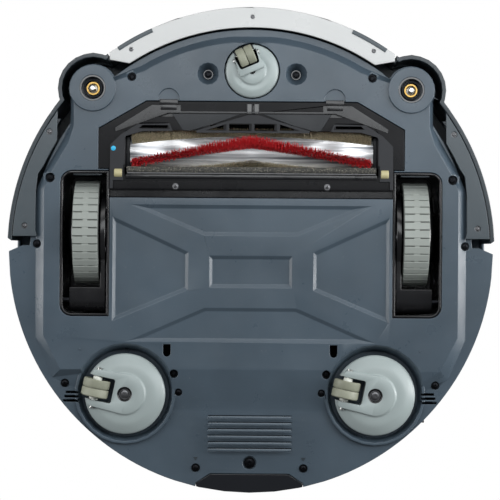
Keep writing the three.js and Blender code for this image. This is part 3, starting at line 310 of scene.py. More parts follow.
STEEL = metal("turned_steel", (205, 205, 202))
# Dark steel; on the screws deep in the cones and on the rear screw this dark colour is also painted shade.
DARK_STEEL_AND_SHADE = metal("dark_steel_and_painted_shade", (34, 35, 38), 0.34)
SCREW_STEEL = metal("screw_steel", (120, 120, 122), 0.35)
BRASS = metal("turned_brass", (196, 160, 92), 0.3)
MOTOR_CAN = metal("plated_can", (140, 144, 148), 0.4)

# %% [markdown]
# ## Mesh helpers
# The moulded shells already have their true shape in CAD, as loose triangles. `moulded` copies one,
# merges its doubles and rounds its sharp edges, because no real moulding has a knife edge: the thin
# highlight on a rounded edge is what makes plastic look real. New pieces start from profiles that are
# spun, extruded or cut. All their measures are in millimetres, and turn to metres in these helpers.

# %% Helpers


def to_object(name, bm, material, body, replaces=(), crease=35):
    """Turns a finished bmesh into a piece that rides on a CAD body."""
    mesh = bpy.data.meshes.new(name)
    bm.to_mesh(mesh)
    bm.free()
    mesh.shade_smooth()
    mesh.set_sharp_from_angle(angle=radians(crease))
    mesh.materials.append(material)
    piece = add_object(name, mesh)
    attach(piece, body)
    if replaces:
        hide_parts(*replaces)
    return piece


def body_of(node):
    return next(body for body, nodes in frame["record"]["behaviour"]["bodies"].items() if node in nodes)


def stand_in(node, suffix, bm, material, crease=35):
    """A piece that takes one CAD node's place, on its body."""
    return to_object(f"{node}_{suffix}", bm, material, body_of(node), (node,), crease)


def extrude_up(bm, faces, height):
    """Lifts a copy of some faces by a height in metres and closes the sides."""
    lifted = bmesh.ops.extrude_face_region(bm, geom=faces)
    moved = [item for item in lifted["geom"] if isinstance(item, bmesh.types.BMVert)]
    bmesh.ops.translate(bm, verts=moved, vec=(0, 0, height))
    face_outwards(bm)


def face_outwards(bm):
    bmesh.ops.recalc_face_normals(bm, faces=bm.faces)


def on_body(name, bm, material):
    """A small part that no CAD node stands for, fixed to the robot's body."""
    return to_object(name, bm, material, "root")


def merged_copy(node):
    bm = bmesh.new()
    bm.from_mesh(NODES[node].data)
    bmesh.ops.remove_doubles(bm, verts=bm.verts, dist=2e-6)
    return bm


def sharp_edges(bm, angle):
    return [e for e in bm.edges if e.calc_face_angle(0) > radians(angle)]


def bevel_edges(bm, edges, width, segments=2, **options):
    bmesh.ops.bevel(bm, geom=edges, offset=width * MM, offset_type="OFFSET", segments=segments, profile=0.5,
                    affect="EDGES", material=-1, **options)


def round_edges(bm, width, angle):
    """Rounds the sharp edges, apart from those that are too short for it."""
    long_enough = [e for e in sharp_edges(bm, angle) if e.calc_length() > 1.2 * (width * MM)]
    bevel_edges(bm, long_enough, width, clamp_overlap=False, loop_slide=False)


def is_chord(edge):
    """Whether an edge is one straight piece of a level round rim about the origin."""
    a, b = (v.co for v in edge.verts)
    level = abs(a.z - b.z) < 1e-5
    round_rim = abs(a.xy.length - b.xy.length) < 2e-5
    return level and round_rim and 2 * MM < edge.calc_length() < 0.16 * a.xy.length


def fine_rims(bm):
    """Cuts the straight chords of round rims and moves the new points out to the true circle."""
    bmesh.ops.join_triangles(bm, faces=bm.faces, angle_face_threshold=0.002, angle_shape_threshold=3.1)
    chords = [edge for edge in bm.edges if is_chord(edge)]
    old = set(bm.verts)
    rings = sorted({round(edge.verts[0].co.xy.length, 5) for edge in chords})
    bmesh.ops.subdivide_edges(bm, edges=chords, cuts=2, use_grid_fill=False)
    for vert in {v for v in bm.verts if v not in old}:
        now = vert.co.xy.length
        ring = min(rings, key=lambda r: abs(r - now) if r >= now - 1e-6 else 1)
        if 0 <= ring - now + 1e-6 < 0.003 * ring + 1e-5:
            vert.co.xy = vert.co.xy * (ring / now)


def even_shading(piece):
    """Lets the large flat faces set the shading, so that only the rounded edges bend the light."""
    step = piece.modifiers.new("even_shading", "WEIGHTED_NORMAL")
    step.keep_sharp = True
    step.weight = 90


def moulded(node, material, width, angle=40, more=(), rims=False, cutters=()):
    """A finished copy of a CAD node, or of several that are one moulding in reality."""
    bm = merged_copy(node)
    if more:
        bm = weld(bm, *[merged_copy(other) for other in more])
    if cutters:
        bm = cut_away(bm, *cutters)
    if rims:
        fine_rims(bm)
    round_edges(bm, width, angle)
    piece = to_object(f"{node}_moulding", bm, material, body_of(node), (node, *more))
    even_shading(piece)


def scaled(points):
    """Millimetre points to metres."""
    return [tuple(c * MM for c in point) for point in points]


def placed(x, y, z, angle=0.0, axis="Z"):
    """A matrix that turns a part and then moves it to a spot, in degrees and millimetres."""
    return Matrix.Translation((x * MM, y * MM, z * MM)) @ Matrix.Rotation(radians(angle), 4, axis)


def spun(bm, profile, steps, matrix=None):
    """Spins a closed or axis-ended [radius, height] profile in mm round +Z, then places the solid."""
    part = bmesh.new()
    verts = [part.verts.new((r, 0, z)) for r, z in scaled(profile)]
    edges = [part.edges.new(pair) for pair in zip(verts, verts[1:])]
    bmesh.ops.spin(part, geom=verts + edges, cent=(0, 0, 0), axis=(0, 0, 1), angle=2 * pi, steps=steps,
                   use_merge=True, dvec=(0, 0, 0))
    bmesh.ops.remove_doubles(part, verts=part.verts, dist=1e-6)
    face_outwards(part)
    return absorb(bm, part, matrix)


def absorb(bm, part, matrix):
    """Adds one bmesh's geometry to another, placed by a matrix."""
    if matrix is not None:
        bmesh.ops.transform(part, matrix=matrix, verts=part.verts)
    mesh = bpy.data.meshes.new("absorbed")
    part.to_mesh(mesh)
    part.free()
    if bm is None:
        bm = bmesh.new()
    bm.from_mesh(mesh)
    bpy.data.meshes.remove(mesh)
    return bm


def box_part(bm, low, high, bevel=0.0, matrix=None, segments=2):
    """A box between two corners in mm, with its edges rounded."""
    part = bmesh.new()
    low, high = scaled([low, high])
    bmesh.ops.create_cube(part, size=1)
    size = [h - l for l, h in zip(low, high)]
    bmesh.ops.scale(part, vec=size, verts=part.verts)
    bmesh.ops.translate(part, vec=[(l + h) / 2 for l, h in zip(low, high)], verts=part.verts)
    if bevel:
        bevel_edges(part, part.edges, bevel, segments)
    return absorb(bm, part, matrix)


def outline_part(bm, points, z0, z1, bevel=0.0, matrix=None):
    """An outline in mm, extruded from one height to another."""
    part = bmesh.new()
    verts = [part.verts.new(spot) for spot in scaled([(x, y, z0) for x, y in points])]
    extrude_up(part, [part.faces.new(verts)], z1 * MM - z0 * MM)
    if bevel:
        bevel_edges(part, sharp_edges(part, 28), bevel)
    return absorb(bm, part, matrix)


def cut_away(bm, *cutters):
    """Cuts solids out of a bmesh with Blender's manifold boolean, and frees them."""
    return boolean(bm, cutters, "DIFFERENCE")


def weld(bm, *others):
    return boolean(bm, others, "UNION")


def boolean(bm, cutters, operation):
    made = []
    for index, part in enumerate([bm, *cutters]):
        mesh = bpy.data.meshes.new(f"cut_{index}")
        part.to_mesh(mesh)
        part.free()
        made.append(add_object(f"cut_{index}", mesh))
    target = made[0]
    for tool in made[1:]:
        step = target.modifiers.new("cut", "BOOLEAN")
        step.object = tool
        step.operation = operation
        step.solver = "MANIFOLD"
    bpy.context.view_layer.update()
    result = bmesh.new()
    result.from_object(target, bpy.context.evaluated_depsgraph_get())
    for thing in made:
        mesh = thing.data
        bpy.data.objects.remove(thing)
        bpy.data.meshes.remove(mesh)
    bmesh.ops.remove_doubles(result, verts=result.verts, dist=1e-6)
    return result


def mirrored(points):
    return [(-x, y) for x, y in reversed(points)]


# %% [markdown]
# ## Shells and frames straight from the CAD
# These pieces keep their CAD shape and only need rounded edges and a finish.

# %% Shells
LATCH_X = 60.3
MOON = [(0, 8), (7.6, 8), (7.6, 10.2), (0, 10.2)]  # a shallow round cut in front of each latch
latch_moons = [spun(None, MOON, 48, placed(side * LATCH_X, -109.8, 0)) for side in SIDES.values()]
moulded("bottom_shell", SLATE, 0.4, 28, rims=True, cutters=latch_moons)
moulded("top_shell", SLATE, 0.8, rims=True)
moulded("bumper_shell", DARK, 0.5, more=("bumper_wall_left", "bumper_wall_right"), rims=True)
moulded("bumper_front_cover", SILVER, 0.5, rims=True)
moulded("dock_window", SMOKED, 0.4)
for label in SIDES:
    moulded(f"bumper_side_plate_{label}", PLATE, 0.35, rims=True)
    moulded(f"wheel_case_{label}", BLACK, 0.4)
    moulded(f"suspension_arm_{label}", BLACK, 0.5)
moulded("brush_chamber", BLACK, 0.4)
moulded("brush_frame", FRAME_BLACK, 0.3)
moulded("lid", SILVER, 0.3)

# %% [markdown]
# ## Drive wheels
# A light rubber tread of forty straight bars over a carcass painted darker, as shade in the grooves
# between the bars, and each groove is bridged in the middle. The hub is a gloss black cap that bulges outwards, so
# it catches one bright streak. Both are drawn round +Z and then turned so that +Z points outwards.

# %% Small geometry tools


def smooth_curve(points, steps=6):
    """A rounded run of points through the given ones."""
    out = []
    last = len(points) - 1
    for i in range(last):
        before = points[max(i - 1, 0)]
        a, b = points[i], points[i + 1]
        after = points[min(i + 2, last)]
        for k in range(steps):
            t = k / steps
            out.append(tuple(catmull(before[c], a[c], b[c], after[c], t) for c in range(len(a))))
    out.append(points[-1])
    return out


def catmull(p0, p1, p2, p3, t):
    return 0.5 * (2 * p1 + (p2 - p0) * t + (2 * p0 - 5 * p1 + 4 * p2 - p3) * t ** 2
                  + (3 * p1 - p0 - 3 * p2 + p3) * t ** 3)


def rounded_rect(x0, x1, y0, y1, radius, steps=6):
    corners = [(x1 - radius, y0 + radius, -90), (x1 - radius, y1 - radius, 0),
               (x0 + radius, y1 - radius, 90), (x0 + radius, y0 + radius, 180)]
    return [(cx + radius * cos(radians(start + 90 * k / steps)),
             cy + radius * sin(radians(start + 90 * k / steps)))
            for cx, cy, start in corners for k in range(steps + 1)]


def rod_part(bm, radius, z0, z1, centre=(0, 0), bevel=0.3, steps=40, matrix=None):
    """A round pin with broken edges, all in millimetres."""
    b = min(bevel, radius * 0.4, (z1 - z0) * 0.3)
    profile = [(0, z0), (radius - b, z0), (radius, z0 + b), (radius, z1 - b), (radius - b, z1), (0, z1)]
    return spun(bm, profile, steps, (matrix or Matrix()) @ placed(*centre, 0))


# %% Tyres and hubs
WHEEL_R = 38
TREAD_BARS = 40
TREAD_HALF = 9.0
GROOVE_DEPTH = 1.3


def tread_bar(bm, matrix, angle, share, height, half):
    """One rubber bar across the tread, at an angle round the wheel."""
    length = 2 * pi * WHEEL_R / TREAD_BARS * share
    low = (WHEEL_R - 2.2, -length / 2, -half)
    high = (height, length / 2, half)
    return box_part(bm, low, high, 0.28, matrix @ Matrix.Rotation(angle, 4, "Z"), 1)


def tyre(label):
    matrix = wheel_matrix(label)
    r = WHEEL_R - GROOVE_DEPTH
    half = TREAD_HALF + 0.5
    base = [(r - 3.4, -half + 1.6), (r - 2, -half), (r - 0.6, -half + 0.3), (r, -half + 1.2),
            (r, half - 1.2),
            (r - 0.6, half - 0.3), (r - 2, half), (r - 3.4, half - 1.2), (r - 3.4, -half + 1.6)]
    carcass = spun(None, base, 120, matrix=matrix)
    bm = bmesh.new()
    for i in range(TREAD_BARS):
        angle = 2 * pi * i / TREAD_BARS
        tread_bar(bm, matrix, angle, 0.83 if i % 2 else 0.87, WHEEL_R, TREAD_HALF)
        tread_bar(bm, matrix, angle + pi / TREAD_BARS, 0.3, WHEEL_R - 0.25, 1.7 if i % 2 else 2.3)
    name = f"drive_tyre_{label}"
    stand_in(name, "tread", bm, TYRE_RUBBER)
    to_object(f"{name}_carcass", carcass, GROOVE_SHADE_CARCASS, body_of(name))


def hub(label):
    matrix = wheel_matrix(label)
    r = WHEEL_R - 5.1
    half = TREAD_HALF + 0.5
    outer = smooth_curve([(r, half - 1.4), (r - 1.2, half + 0.6), (r * 0.86, half + 2.0),
                          (r * 0.5, half + 4.8),
                          (0.01, half + 5.6)], 8)
    ring = [(8, -half + 1), (8, -half), (11, -half), (11, half - 7), (r - 5, half - 7), (r - 5, -half),
            (r - 2, -half),
            (r, -half + 1.5)]
    bm = spun(None, ring + outer, 120, matrix=matrix)
    for turn in range(6):
        spoke = matrix @ Matrix.Rotation(turn * pi / 3, 4, "Z")
        box_part(bm, (10.5, -0.9, -half + 1.5), (r - 4.5, 0.9, half - 6.5), 0.3, spoke)
    name = f"drive_wheel_hub_{label}"
    stand_in(name, "cap", bm, GLOSS_BLACK, 50)


def wheel_matrix(label):
    """Turns +Z outwards along a drive wheel's axle."""
    place = [c / MM for c in JOINTS[f"wheel_spin_{label}"]["pos_m"]]
    return placed(*place, SIDES[label] * 90, "Y")


for label in SIDES:
    tyre(label)
    hub(label)

# %% Wheel room details
# A thin fender edge in front of each wheel, and a ring and screws on each gearbox.


def fender(label):
    side = SIDES[label]
    flip = Matrix.Diagonal((side, 1, 1, 1))
    bar = [(108.6, -55.3), (129.3, -55.3), (129.3, -54.2), (108.6, -54.2)]
    bm = outline_part(None, bar, 11.5, 30, 0.25, flip)
    if side < 0:
        bmesh.ops.reverse_faces(bm, faces=bm.faces)
    on_body(f"wheel_fender_{label}", bm, DARK)


def gearbox_trim(label):
    side = SIDES[label]
    outward = placed(side * 105.8, -12.7, WHEEL_R, -side * 90, "Y")
    bm = None
    for turn in range(5):
        angle = radians(30 + 72 * turn)
        bm = rod_part(bm, 2.6, -0.2, 0.45, (25.5 * cos(angle), 25.5 * sin(angle)), 0.15, 24, outward)
    bm = spun(bm, [(6, -0.2), (9, -0.2), (9.4, 0.2), (9.4, 0.5), (6, 0.5), (6, -0.2)], 48, matrix=outward)
    to_object(f"gearbox_trim_{label}", bm, SCREW_STEEL, f"arm_{label}")


for label in SIDES:
    fender(label)
    gearbox_trim(label)

# %% [markdown]
# ## Casters
# Each fork is one light grey moulding: a shallow dome with a raised hub disc and two arms that hold
# the axle. The roller is two moulded halves with a fine seam, white bushings at both sides and a
# steel axle whose riveted ends stand out of the arms. The fork is drawn with its wheel towards +X.

# %% Caster tools
REAR = {"r": 9.75, "width": 12.8, "trail": 21.5, "side": 2.6, "arm": 5.4, "dish": 29.3, "rim": 12.5,
        "hub": 6.2,
        "hub_r": 14.5, "slot": 8.5, "cup": 5.4, "roof": 21.5, "angle": 191.8, "reach": 4.1, "sag": 0.7}
FRONT = {"r": 7.3, "width": 12.3, "trail": 11.2, "side": 1.4, "arm": 2.0, "dish": 19.3, "rim": 9.6,
         "hub": 6.0,
         "hub_r": 9.5, "slot": 3.5, "cup": 2.5, "roof": 21.5, "angle": 246.9, "reach": 3.0, "sag": 0.5}


def caster_matrix(size, joint):
    x, y, _ = JOINTS[joint]["pos_m"]
    return placed(x / MM, y / MM, 0, size["angle"])


def axle_matrix(size, joint):
    """Turns +Z along the axle of a caster's roller."""
    return caster_matrix(size, joint) @ placed(size["trail"], 0, size["r"], -90, "X")


def fork_dome(size):
    hub_r, hub, rim, dish = size["hub_r"], size["hub"], size["rim"], size["dish"]
    slope = smooth_curve([(hub_r + 1.2, hub + 1.5),
                          (hub_r + (dish - hub_r) * 0.5, (hub + rim) / 2 - size["sag"]),
                          (dish - 1.2, rim - 0.9), (dish, rim + 0.5)], 8)
    crown = [(0.0, hub), (hub_r - 0.5, hub), (hub_r + 0.1, hub + 0.35), (hub_r + 0.5, hub + 1.1)]
    under = [(dish, rim + 1.6), (hub_r + 1, rim + 1.6), (hub_r, size["roof"]), (0.0, size["roof"])]
    return spun(None, crown + slope + under, 128)


def fork_arms(size):
    half = size["width"] / 2 + size["side"]
    end = size["trail"] + size["reach"]
    inner, outer = half, half + size["arm"]
    tip = (outer + inner) / 2
    blend_x = size["hub_r"] * 0.2
    half_outline = [(-1, outer), (blend_x, outer), (end - 2.2, outer - 0.9), (end - 0.4, tip + 0.6),
                    (end, tip),
                    (end - 0.2, inner + 0.6), (end - 0.8, inner - 0.4)]
    points = [(x, -y) for x, y in half_outline] + half_outline[::-1]
    return outline_part(None, points, size["r"] - 3.6, size["rim"] + 1, 0.6)


def fork(name, size, joint):
    half = size["width"] / 2 + size["side"]
    body = weld(fork_dome(size), fork_arms(size))
    slot = rounded_rect(size["slot"], size["trail"] + size["r"] + 12, -half, half, 1.6)
    slot_cut = outline_part(None, slot, -1, size["roof"] + 2)
    cup_cut = rod_part(None, size["cup"], size["hub"] - 1, size["hub"] + 3, bevel=0)
    bm = cut_away(body, slot_cut, cup_cut)
    top = (size["rim"] + 2) * MM
    rim = [e for e in sharp_edges(bm, 50) if all(v.co.z < top for v in e.verts)]
    bevel_edges(bm, rim, 0.3, clamp_overlap=True, loop_slide=False)
    bmesh.ops.transform(bm, matrix=caster_matrix(size, joint), verts=bm.verts)
    piece = f"{name}_fork"
    stand_in(piece, "moulding", bm, DOME, 40)


def roller(name, size, joint):
    """Two moulded halves with a seam, and a white bushing at each side."""
    r, half = size["r"], size["width"] / 2
    matrix = axle_matrix(size, joint)
    seam = 0.22
    side = [(1.9, seam), (r - 0.9, seam), (r - 0.3, seam + 0.15), (r, seam + 0.6), (r, half - 0.7),
            (r - 0.7, half),
            (r - 2.2, half), (r - 2.6, half - 0.6), (3.6, half - 0.6), (1.9, half - 0.6), (1.9, seam)]
    bm = spun(None, side, 72, matrix=matrix)
    bm = spun(bm, [(a, -z) for a, z in side], 72, matrix=matrix)
    bm = spun(bm, [(1.9, -seam), (r - 1.2, -seam), (r - 1.2, seam), (1.9, seam), (1.9, -seam)], 48,
              matrix=matrix)
    piece = f"{name}_wheel"
    stand_in(piece, "halves", bm, ROLLER)
    white = None
    edge = half + size["side"] - 0.4
    for sign in (1, -1):
        bush = [(1.9, half - 0.7), (3.3, half - 0.7), (3.3, edge - 0.4), (2.9, edge), (1.9, edge),
                (1.9, half - 0.7)]
        white = spun(white, [(a, sign * z) for a, z in bush], 40, matrix=matrix)
    to_object(f"{piece}_bushings", white, NYLON, body_of(piece))


def axle(name, size, joint):
    half = size["width"] / 2 + size["side"] + size["arm"] + 0.6
    matrix = axle_matrix(size, joint)
    bm = rod_part(None, 1.5, -half + 0.5, half - 0.5, matrix=matrix)
    for sign in (1, -1):
        low, high = sorted((sign * (half - 0.9), sign * half))
        bm = rod_part(bm, 2.1, low, high, bevel=0.35, matrix=matrix)
    piece = f"{name}_axle"
    stand_in(piece, "pin", bm, STEEL)


def cup_screw(name, size, joint):
    """A dark socket in the hub disc with a cross-head screw at its bottom."""
    matrix = caster_matrix(size, joint)
    top = size["hub"]
    wall = [(size["cup"] - 0.05, top + 0.1), (size["cup"] - 0.05, top + 2.95),
            (size["cup"] - 0.9, top + 2.95),
            (size["cup"] - 0.9, top + 0.5), (size["cup"] - 0.05, top + 0.1)]
    liner = spun(None, wall, 48, matrix=matrix)
    liner = rod_part(liner, size["cup"] - 0.6, top + 2.5, top + 2.98, matrix=matrix)
    body = body_of(f"{name}_fork")
    to_object(f"{name}_cup", liner, BLACK, body)
    screw = screw_head(size["cup"] * 0.56, 1.4, matrix @ placed(0, 0, top + 1.3))
    to_object(f"{name}_screw", screw, SCREW_STEEL, body)


def screw_head(radius, depth, matrix):
    """A pan head seen from -Z, with a cross recess and a washer."""
    profile = [(0, 0), (radius * 0.55, 0.02), (radius * 0.9, 0.3), (radius, 0.7), (radius, depth),
               (0, depth)]
    head = spun(None, profile, 40)
    long_bar = [(-radius * 0.55, -radius * 0.13, -1), (radius * 0.55, radius * 0.13, 0.7)]
    cross = box_part(None, *long_bar)
    other = box_part(None, *long_bar, matrix=placed(0, 0, 0, 90))
    head = cut_away(head, cross, other)
    low, wide = depth - 0.5, radius * 1.3
    head = spun(head, [(radius, low), (wide, low), (wide, depth), (radius, depth), (radius, low)], 40)
    bmesh.ops.transform(head, matrix=matrix @ placed(0, 0, 0, 20), verts=head.verts)
    return head


# %% Casters
CASTERS = [("rear_caster_left", REAR, "rear_swivel_left"), ("rear_caster_right", REAR, "rear_swivel_right"),
           ("front_caster", FRONT, "front_swivel")]
for caster in CASTERS:
    fork(*caster)
    roller(*caster)
    axle(*caster)
    cup_screw(*caster)

# %% [markdown]
# ## Main brush
# A silver roller with shallow twisted flats, one row of red bristles and three rows of beige ones, all
# wound in a V whose point leads at the middle. Every bristle is its own thin tapered blade, with a
# little lean and length of its own, so the rows look combed and not cut.

# %% Brush materials


def strands(name, rgb, tip, roughness=0.7):
    """Fibres with a tone that changes from one to the next."""
    material, tree, shader, coords = principled(name, Roughness=roughness)
    fine = noise(tree, coords, 1300, 2)
    tone = ramp(tree, fine, rgba(rgb), rgba(tip), 0.38, 0.62)
    wire(tone, "Color", shader, "Base Color")
    return material


def roller_film_painted_highlights(name):
    """Silver film with long soft streaks of painted highlight along the roller."""
    material, tree, shader, coords = principled(name, Metallic=0.6)
    lines = streaks(tree, coords, (6, 260, 260), Scale=1, Detail=4, Roughness=0.6)
    # The light streaks in this colour are painted highlights.
    tone = ramp(tree, lines, rgba((112, 114, 118)), rgba((244, 245, 246)), 0.36, 0.56)
    gloss = ramp(tree, lines, grey(0.18), grey(0.34), 0.3, 0.7)
    wire(tone, "Color", shader, "Base Color")
    wire(gloss, "Color", shader, "Roughness")
    return material


def speckled(name, base, fleck, scale=900, start=0.6, roughness=0.9):
    """Fine flecks of a second tone, raised a little."""
    material, tree, shader, coords = principled(name, Roughness=roughness)
    grains = noise(tree, coords, scale, 6, 0.75)
    tone = ramp(tree, grains, rgba(base), rgba(fleck), start, start + 0.14)
    bump = add_node(tree, "Bump", Strength=0.8, Distance=0.0006)
    wire(grains, "Fac", bump, "Height")
    wire(tone, "Color", shader, "Base Color")
    wire(bump, "Normal", shader, "Normal")
    return material


RED_BRISTLE = strands("red_bristle", (168, 14, 24), (222, 36, 44))
BEIGE_BRISTLE = strands("beige_bristle", (104, 96, 74), (168, 158, 130))
FILM = roller_film_painted_highlights("roller_film_painted_highlights")
SPONGE = speckled("speckled_sponge", (50, 50, 48), (160, 155, 140), start=0.52)

# %% Roller
BRUSH_Y, BRUSH_Z = (JOINTS["main_brush_spin"]["pos_m"][i] / MM for i in (1, 2))
BRUSH_HALF = 88.3
CORE_R = 12.5
BRISTLE_R = 19.0
ROW_TWIST = 61
RED_END = 304  # degrees of the red row at the roller's ends, from +Y towards +Z


def row_angle(x, end):
    return radians(end - ROW_TWIST * (1 - abs(x) / BRUSH_HALF))


def on_roller(x, angle, r):
    return (x * MM, (BRUSH_Y + r * cos(angle)) * MM, (BRUSH_Z + r * sin(angle)) * MM)


def roller_core():
    """A tube of rings whose six shallow flats follow the rows' twist."""
    bm = bmesh.new()
    count, steps = 72, 64
    rings = []
    for i in range(steps + 1):
        x = -BRUSH_HALF + 2 * BRUSH_HALF * i / steps
        start = row_angle(x, RED_END)
        ring = []
        for k in range(count):
            turn = 2 * pi * k / count
            flat = abs(sin(3 * turn)) ** 0.8
            ring.append(bm.verts.new(on_roller(x, start + turn, CORE_R - 1.6 * flat)))
        rings.append(ring)
    for a, b in zip(rings, rings[1:]):
        for k in range(count):
            n = (k + 1) % count
            bm.faces.new((a[k], b[k], b[n], a[n]))
    bm.faces.new(rings[0])
    bm.faces.new(reversed(rings[-1]))
    face_outwards(bm)
    centre = placed(0, BRUSH_Y, BRUSH_Z, 90, "Y")
    for sign in (-1, 1):
        low, high = sorted((sign * (BRUSH_HALF - 1), sign * (BRUSH_HALF + 5)))
        bm = rod_part(bm, 2.6, low, high, matrix=centre)
    to_object("brush_roller", bm, FILM, "main_brush", ("brush_core",))


def blade(bm, root, tip, width, across):
    """One bristle: a three-sided taper from root to tip."""
    axis = (tip - root).normalized()
    side = axis.cross(across).normalized()
    ring = []
    for k in range(3):
        turn = 2 * pi * k / 3
        ring.append(bm.verts.new(root + (across * cos(turn) + side * sin(turn)) * width))
    top = [bm.verts.new(tip + (v.co - root) * 0.55) for v in ring]
    for k in range(3):
        n = (k + 1) % 3
        bm.faces.new((ring[k], ring[n], top[n], top[k]))
    bm.faces.new(top)
    bm.faces.new(reversed(ring))


def bristle_row(name, ends, material, replaces, pitch, columns, spread, lean, ragged, width):
    """Rows of blades, columns abreast, leaning back from the way that the brush turns."""
    rng = random.Random(name)
    bm = bmesh.new()
    count = int(2 * (BRUSH_HALF - 1.5) / pitch)
    for end in ends:
        for i in range(count):
            for column in range(columns):
                x = -BRUSH_HALF + 1.5 + (i + rng.random()) * pitch
                offset = radians(spread * ((column + rng.random()) / columns - 0.5))
                angle = row_angle(x, end) + offset
                reach = BRISTLE_R - rng.random() * ragged
                drift = rng.uniform(-1.1, 1.1)
                root = Vector(on_roller(x, angle, CORE_R - 1))
                tip = Vector(on_roller(x + drift, angle - radians(lean + rng.uniform(-4, 4)), reach))
                blade(bm, root, tip, width * MM, Vector((1, 0, 0)))
    face_outwards(bm)
    to_object(name, bm, material, "main_brush", replaces)


roller_core()
bristle_row("red_row", (RED_END,), RED_BRISTLE, ("bristles_red",), 0.5, 9, 22, 6, 1.6, 0.3)
BEIGE_ENDS = [RED_END + turn for turn in (-76, 68, 180)]
bristle_row("beige_rows", BEIGE_ENDS, BEIGE_BRISTLE, ("bristles_beige",), 0.42, 8, 30,
            8, 1.4, 0.22)

# %% [markdown]
# ## Brush frame
# The frame's plate is black and lies back from the eye. In front of it stand the matte parts: two
# side columns that end in slanted guards with narrow windows, and the triangular guard in the middle.

# %% Frame guards
GUARD_Z0, GUARD_Z1 = 7.6, 9.2
CENTRE_X = 0.9  # the middle guard sits slightly off the centre line


def frame_piece(name, bm, material):
    """A small part of the brush frame."""
    return to_object(name, bm, material, "brush_frame")


def guard(name, outline, windows, z0=GUARD_Z0, z1=GUARD_Z1, material=MATTE_BLACK):
    bm = outline_part(None, outline, z0, z1)
    cutters = [outline_part(None, window, z0 - 1, z1 + 1) for window in windows]
    if cutters:
        bm = cut_away(bm, *cutters)
    round_edges(bm, 0.22, 40)
    even_shading(frame_piece(name, bm, material))


COLUMN = [(102.6, -44.6), (102.6, -76), (95, -83.5), (82.5, -91.4), (59.6, -91.9), (57.2, -86.4), (79, -86),
               (91, -82.6), (91.9, -81), (91.9, -62), (93, -61.6), (93, -50.4), (100.4, -50.4),
          (100.4, -44.6)]
COLUMN_WINDOW = [(81.9, -88.0), (79.2, -90.5), (60.6, -90.5), (59.3, -87.7)]
guard("frame_column_left", mirrored(COLUMN), [mirrored(COLUMN_WINDOW)])
guard("frame_column_right", COLUMN, [COLUMN_WINDOW])

TRIANGLE = [(-41, -85.3), (-41, -86.9), (-33, -89.2), (-4, -98.3), (4, -98.3), (33, -89.2), (41, -86.9),
            (41, -85.3)]
TRIANGLE_WINDOWS = [
    [(-17.3, -91.9), (-17.3, -86.7), (-1.0, -86.7), (-1.0, -91.9)],
    [(17.3, -91.9), (1.0, -91.9), (1.0, -86.7), (17.3, -86.7)],
    [(-19.3, -91.6), (-34.2, -87.0), (-19.3, -87.0)],
    [(19.3, -91.6), (19.3, -87.0), (34.2, -87.0)],
]


def off_centre(points):
    return [(x + CENTRE_X, y) for x, y in points]


guard("frame_triangle", off_centre(TRIANGLE), [off_centre(window) for window in TRIANGLE_WINDOWS])
REAR_BAR = [(-100, -49.9), (100, -49.9), (100, -44.5), (-100, -44.5)]
guard("frame_rear_bar", REAR_BAR, [], 8.4, 9.1, FRAME_BLACK)


def tray_panels():
    """The glossy slopes between the guards: a shallow wide funnel in front of the brush."""
    bm = outline_part(None, [(-72.5, -105.3), (-51.7, -105.3), (-51.7, -100.8), (51.7, -100.8),
                             (51.7, -105.3),
                                    (72.5, -105.3), (99, -88.6), (99, -85.6), (60.5, -99.5), (-60.5, -99.5),
                                    (-99, -85.6), (-99, -88.6)], 8.6, 9.1, 0.18)
    even_shading(frame_piece("frame_front_band", bm, BLACK))
    slope = [(-57.8, -98.9), (-8, -98.9), (-40.2, -86.9), (-50, -86.9)]
    bm = outline_part(None, slope, 8.5, 9.1, 0.2)
    bm = outline_part(bm, mirrored(slope), 8.5, 9.1, 0.2)
    even_shading(frame_piece("frame_funnel", bm, DARK_GLOSS))


DARK_GLOSS = plastic("dark_gloss_plastic", (24, 27, 31), 0.22, 0.03, 0.06, shine=0.3)
tray_panels()


def frame_slots():
    """Two dark slots, each between two thin ribs, at the middle of the front edge."""
    bm = None
    for x in (-3.6, 0.1, 1.7, 5.2):
        bm = box_part(bm, (x - 0.3, -106.6, 8.1), (x + 0.3, -99.2, 9.2), bevel=0.15)
    frame_piece("frame_slot_ribs", bm, MATTE_BLACK)
    dark = None
    for x in (-1.75, 3.45):
        dark = box_part(dark, (x - 1.45, -106.2, 8.75), (x + 1.45, -99.4, 9.2))
    frame_piece("frame_slot_shadows", dark, GLOSS_BLACK)


frame_slots()

# %% Strip, rod and ribbed bar behind the brush


def rear_strip():
    bm = bmesh.new()
    steps, across = 240, 6
    rng = random.Random("sponge")
    rows = []
    for i in range(steps + 1):
        x = -90.4 + 180.8 * i / steps
        row = []
        for k in range(across + 1):
            y = -60.6 + 4.4 * k / across
            z = 6.6 + rng.uniform(-0.28, 0.28) + 0.9 * abs(2 * k / across - 1) ** 3
            row.append(bm.verts.new((x * MM, y * MM, z * MM)))
        rows.append(row)
    for a, b in zip(rows, rows[1:]):
        for k in range(across):
            bm.faces.new((a[k], a[k + 1], b[k + 1], b[k]))
    extrude_up(bm, list(bm.faces), 1.6 * MM)
    to_object("sponge_strip", bm, SPONGE, "brush_frame", ("squeegee",), 80)
    rod = placed(0, -55.7, 7.1, 90, "Y")
    bm = rod_part(None, 0.62, -90.2, 90.2, bevel=0.2, steps=20, matrix=rod)
    to_object("sponge_rod", bm, SCREW_STEEL, "brush_frame")
    bm = box_part(None, (-91, -54.9, 7.4), (91, -51.9, 8.9), bevel=0.3)
    for x in (-76.8, -25.5, 26.5, 78):
        bm = box_part(bm, (x - 2.8, -54.4, 6.9), (x + 2.8, -52.4, 7.6), bevel=0.3)
    frame_piece("rear_ribbed_bar", bm, BLACK)


rear_strip()

# %% Ends of the brush, guide rollers, latches and the dot


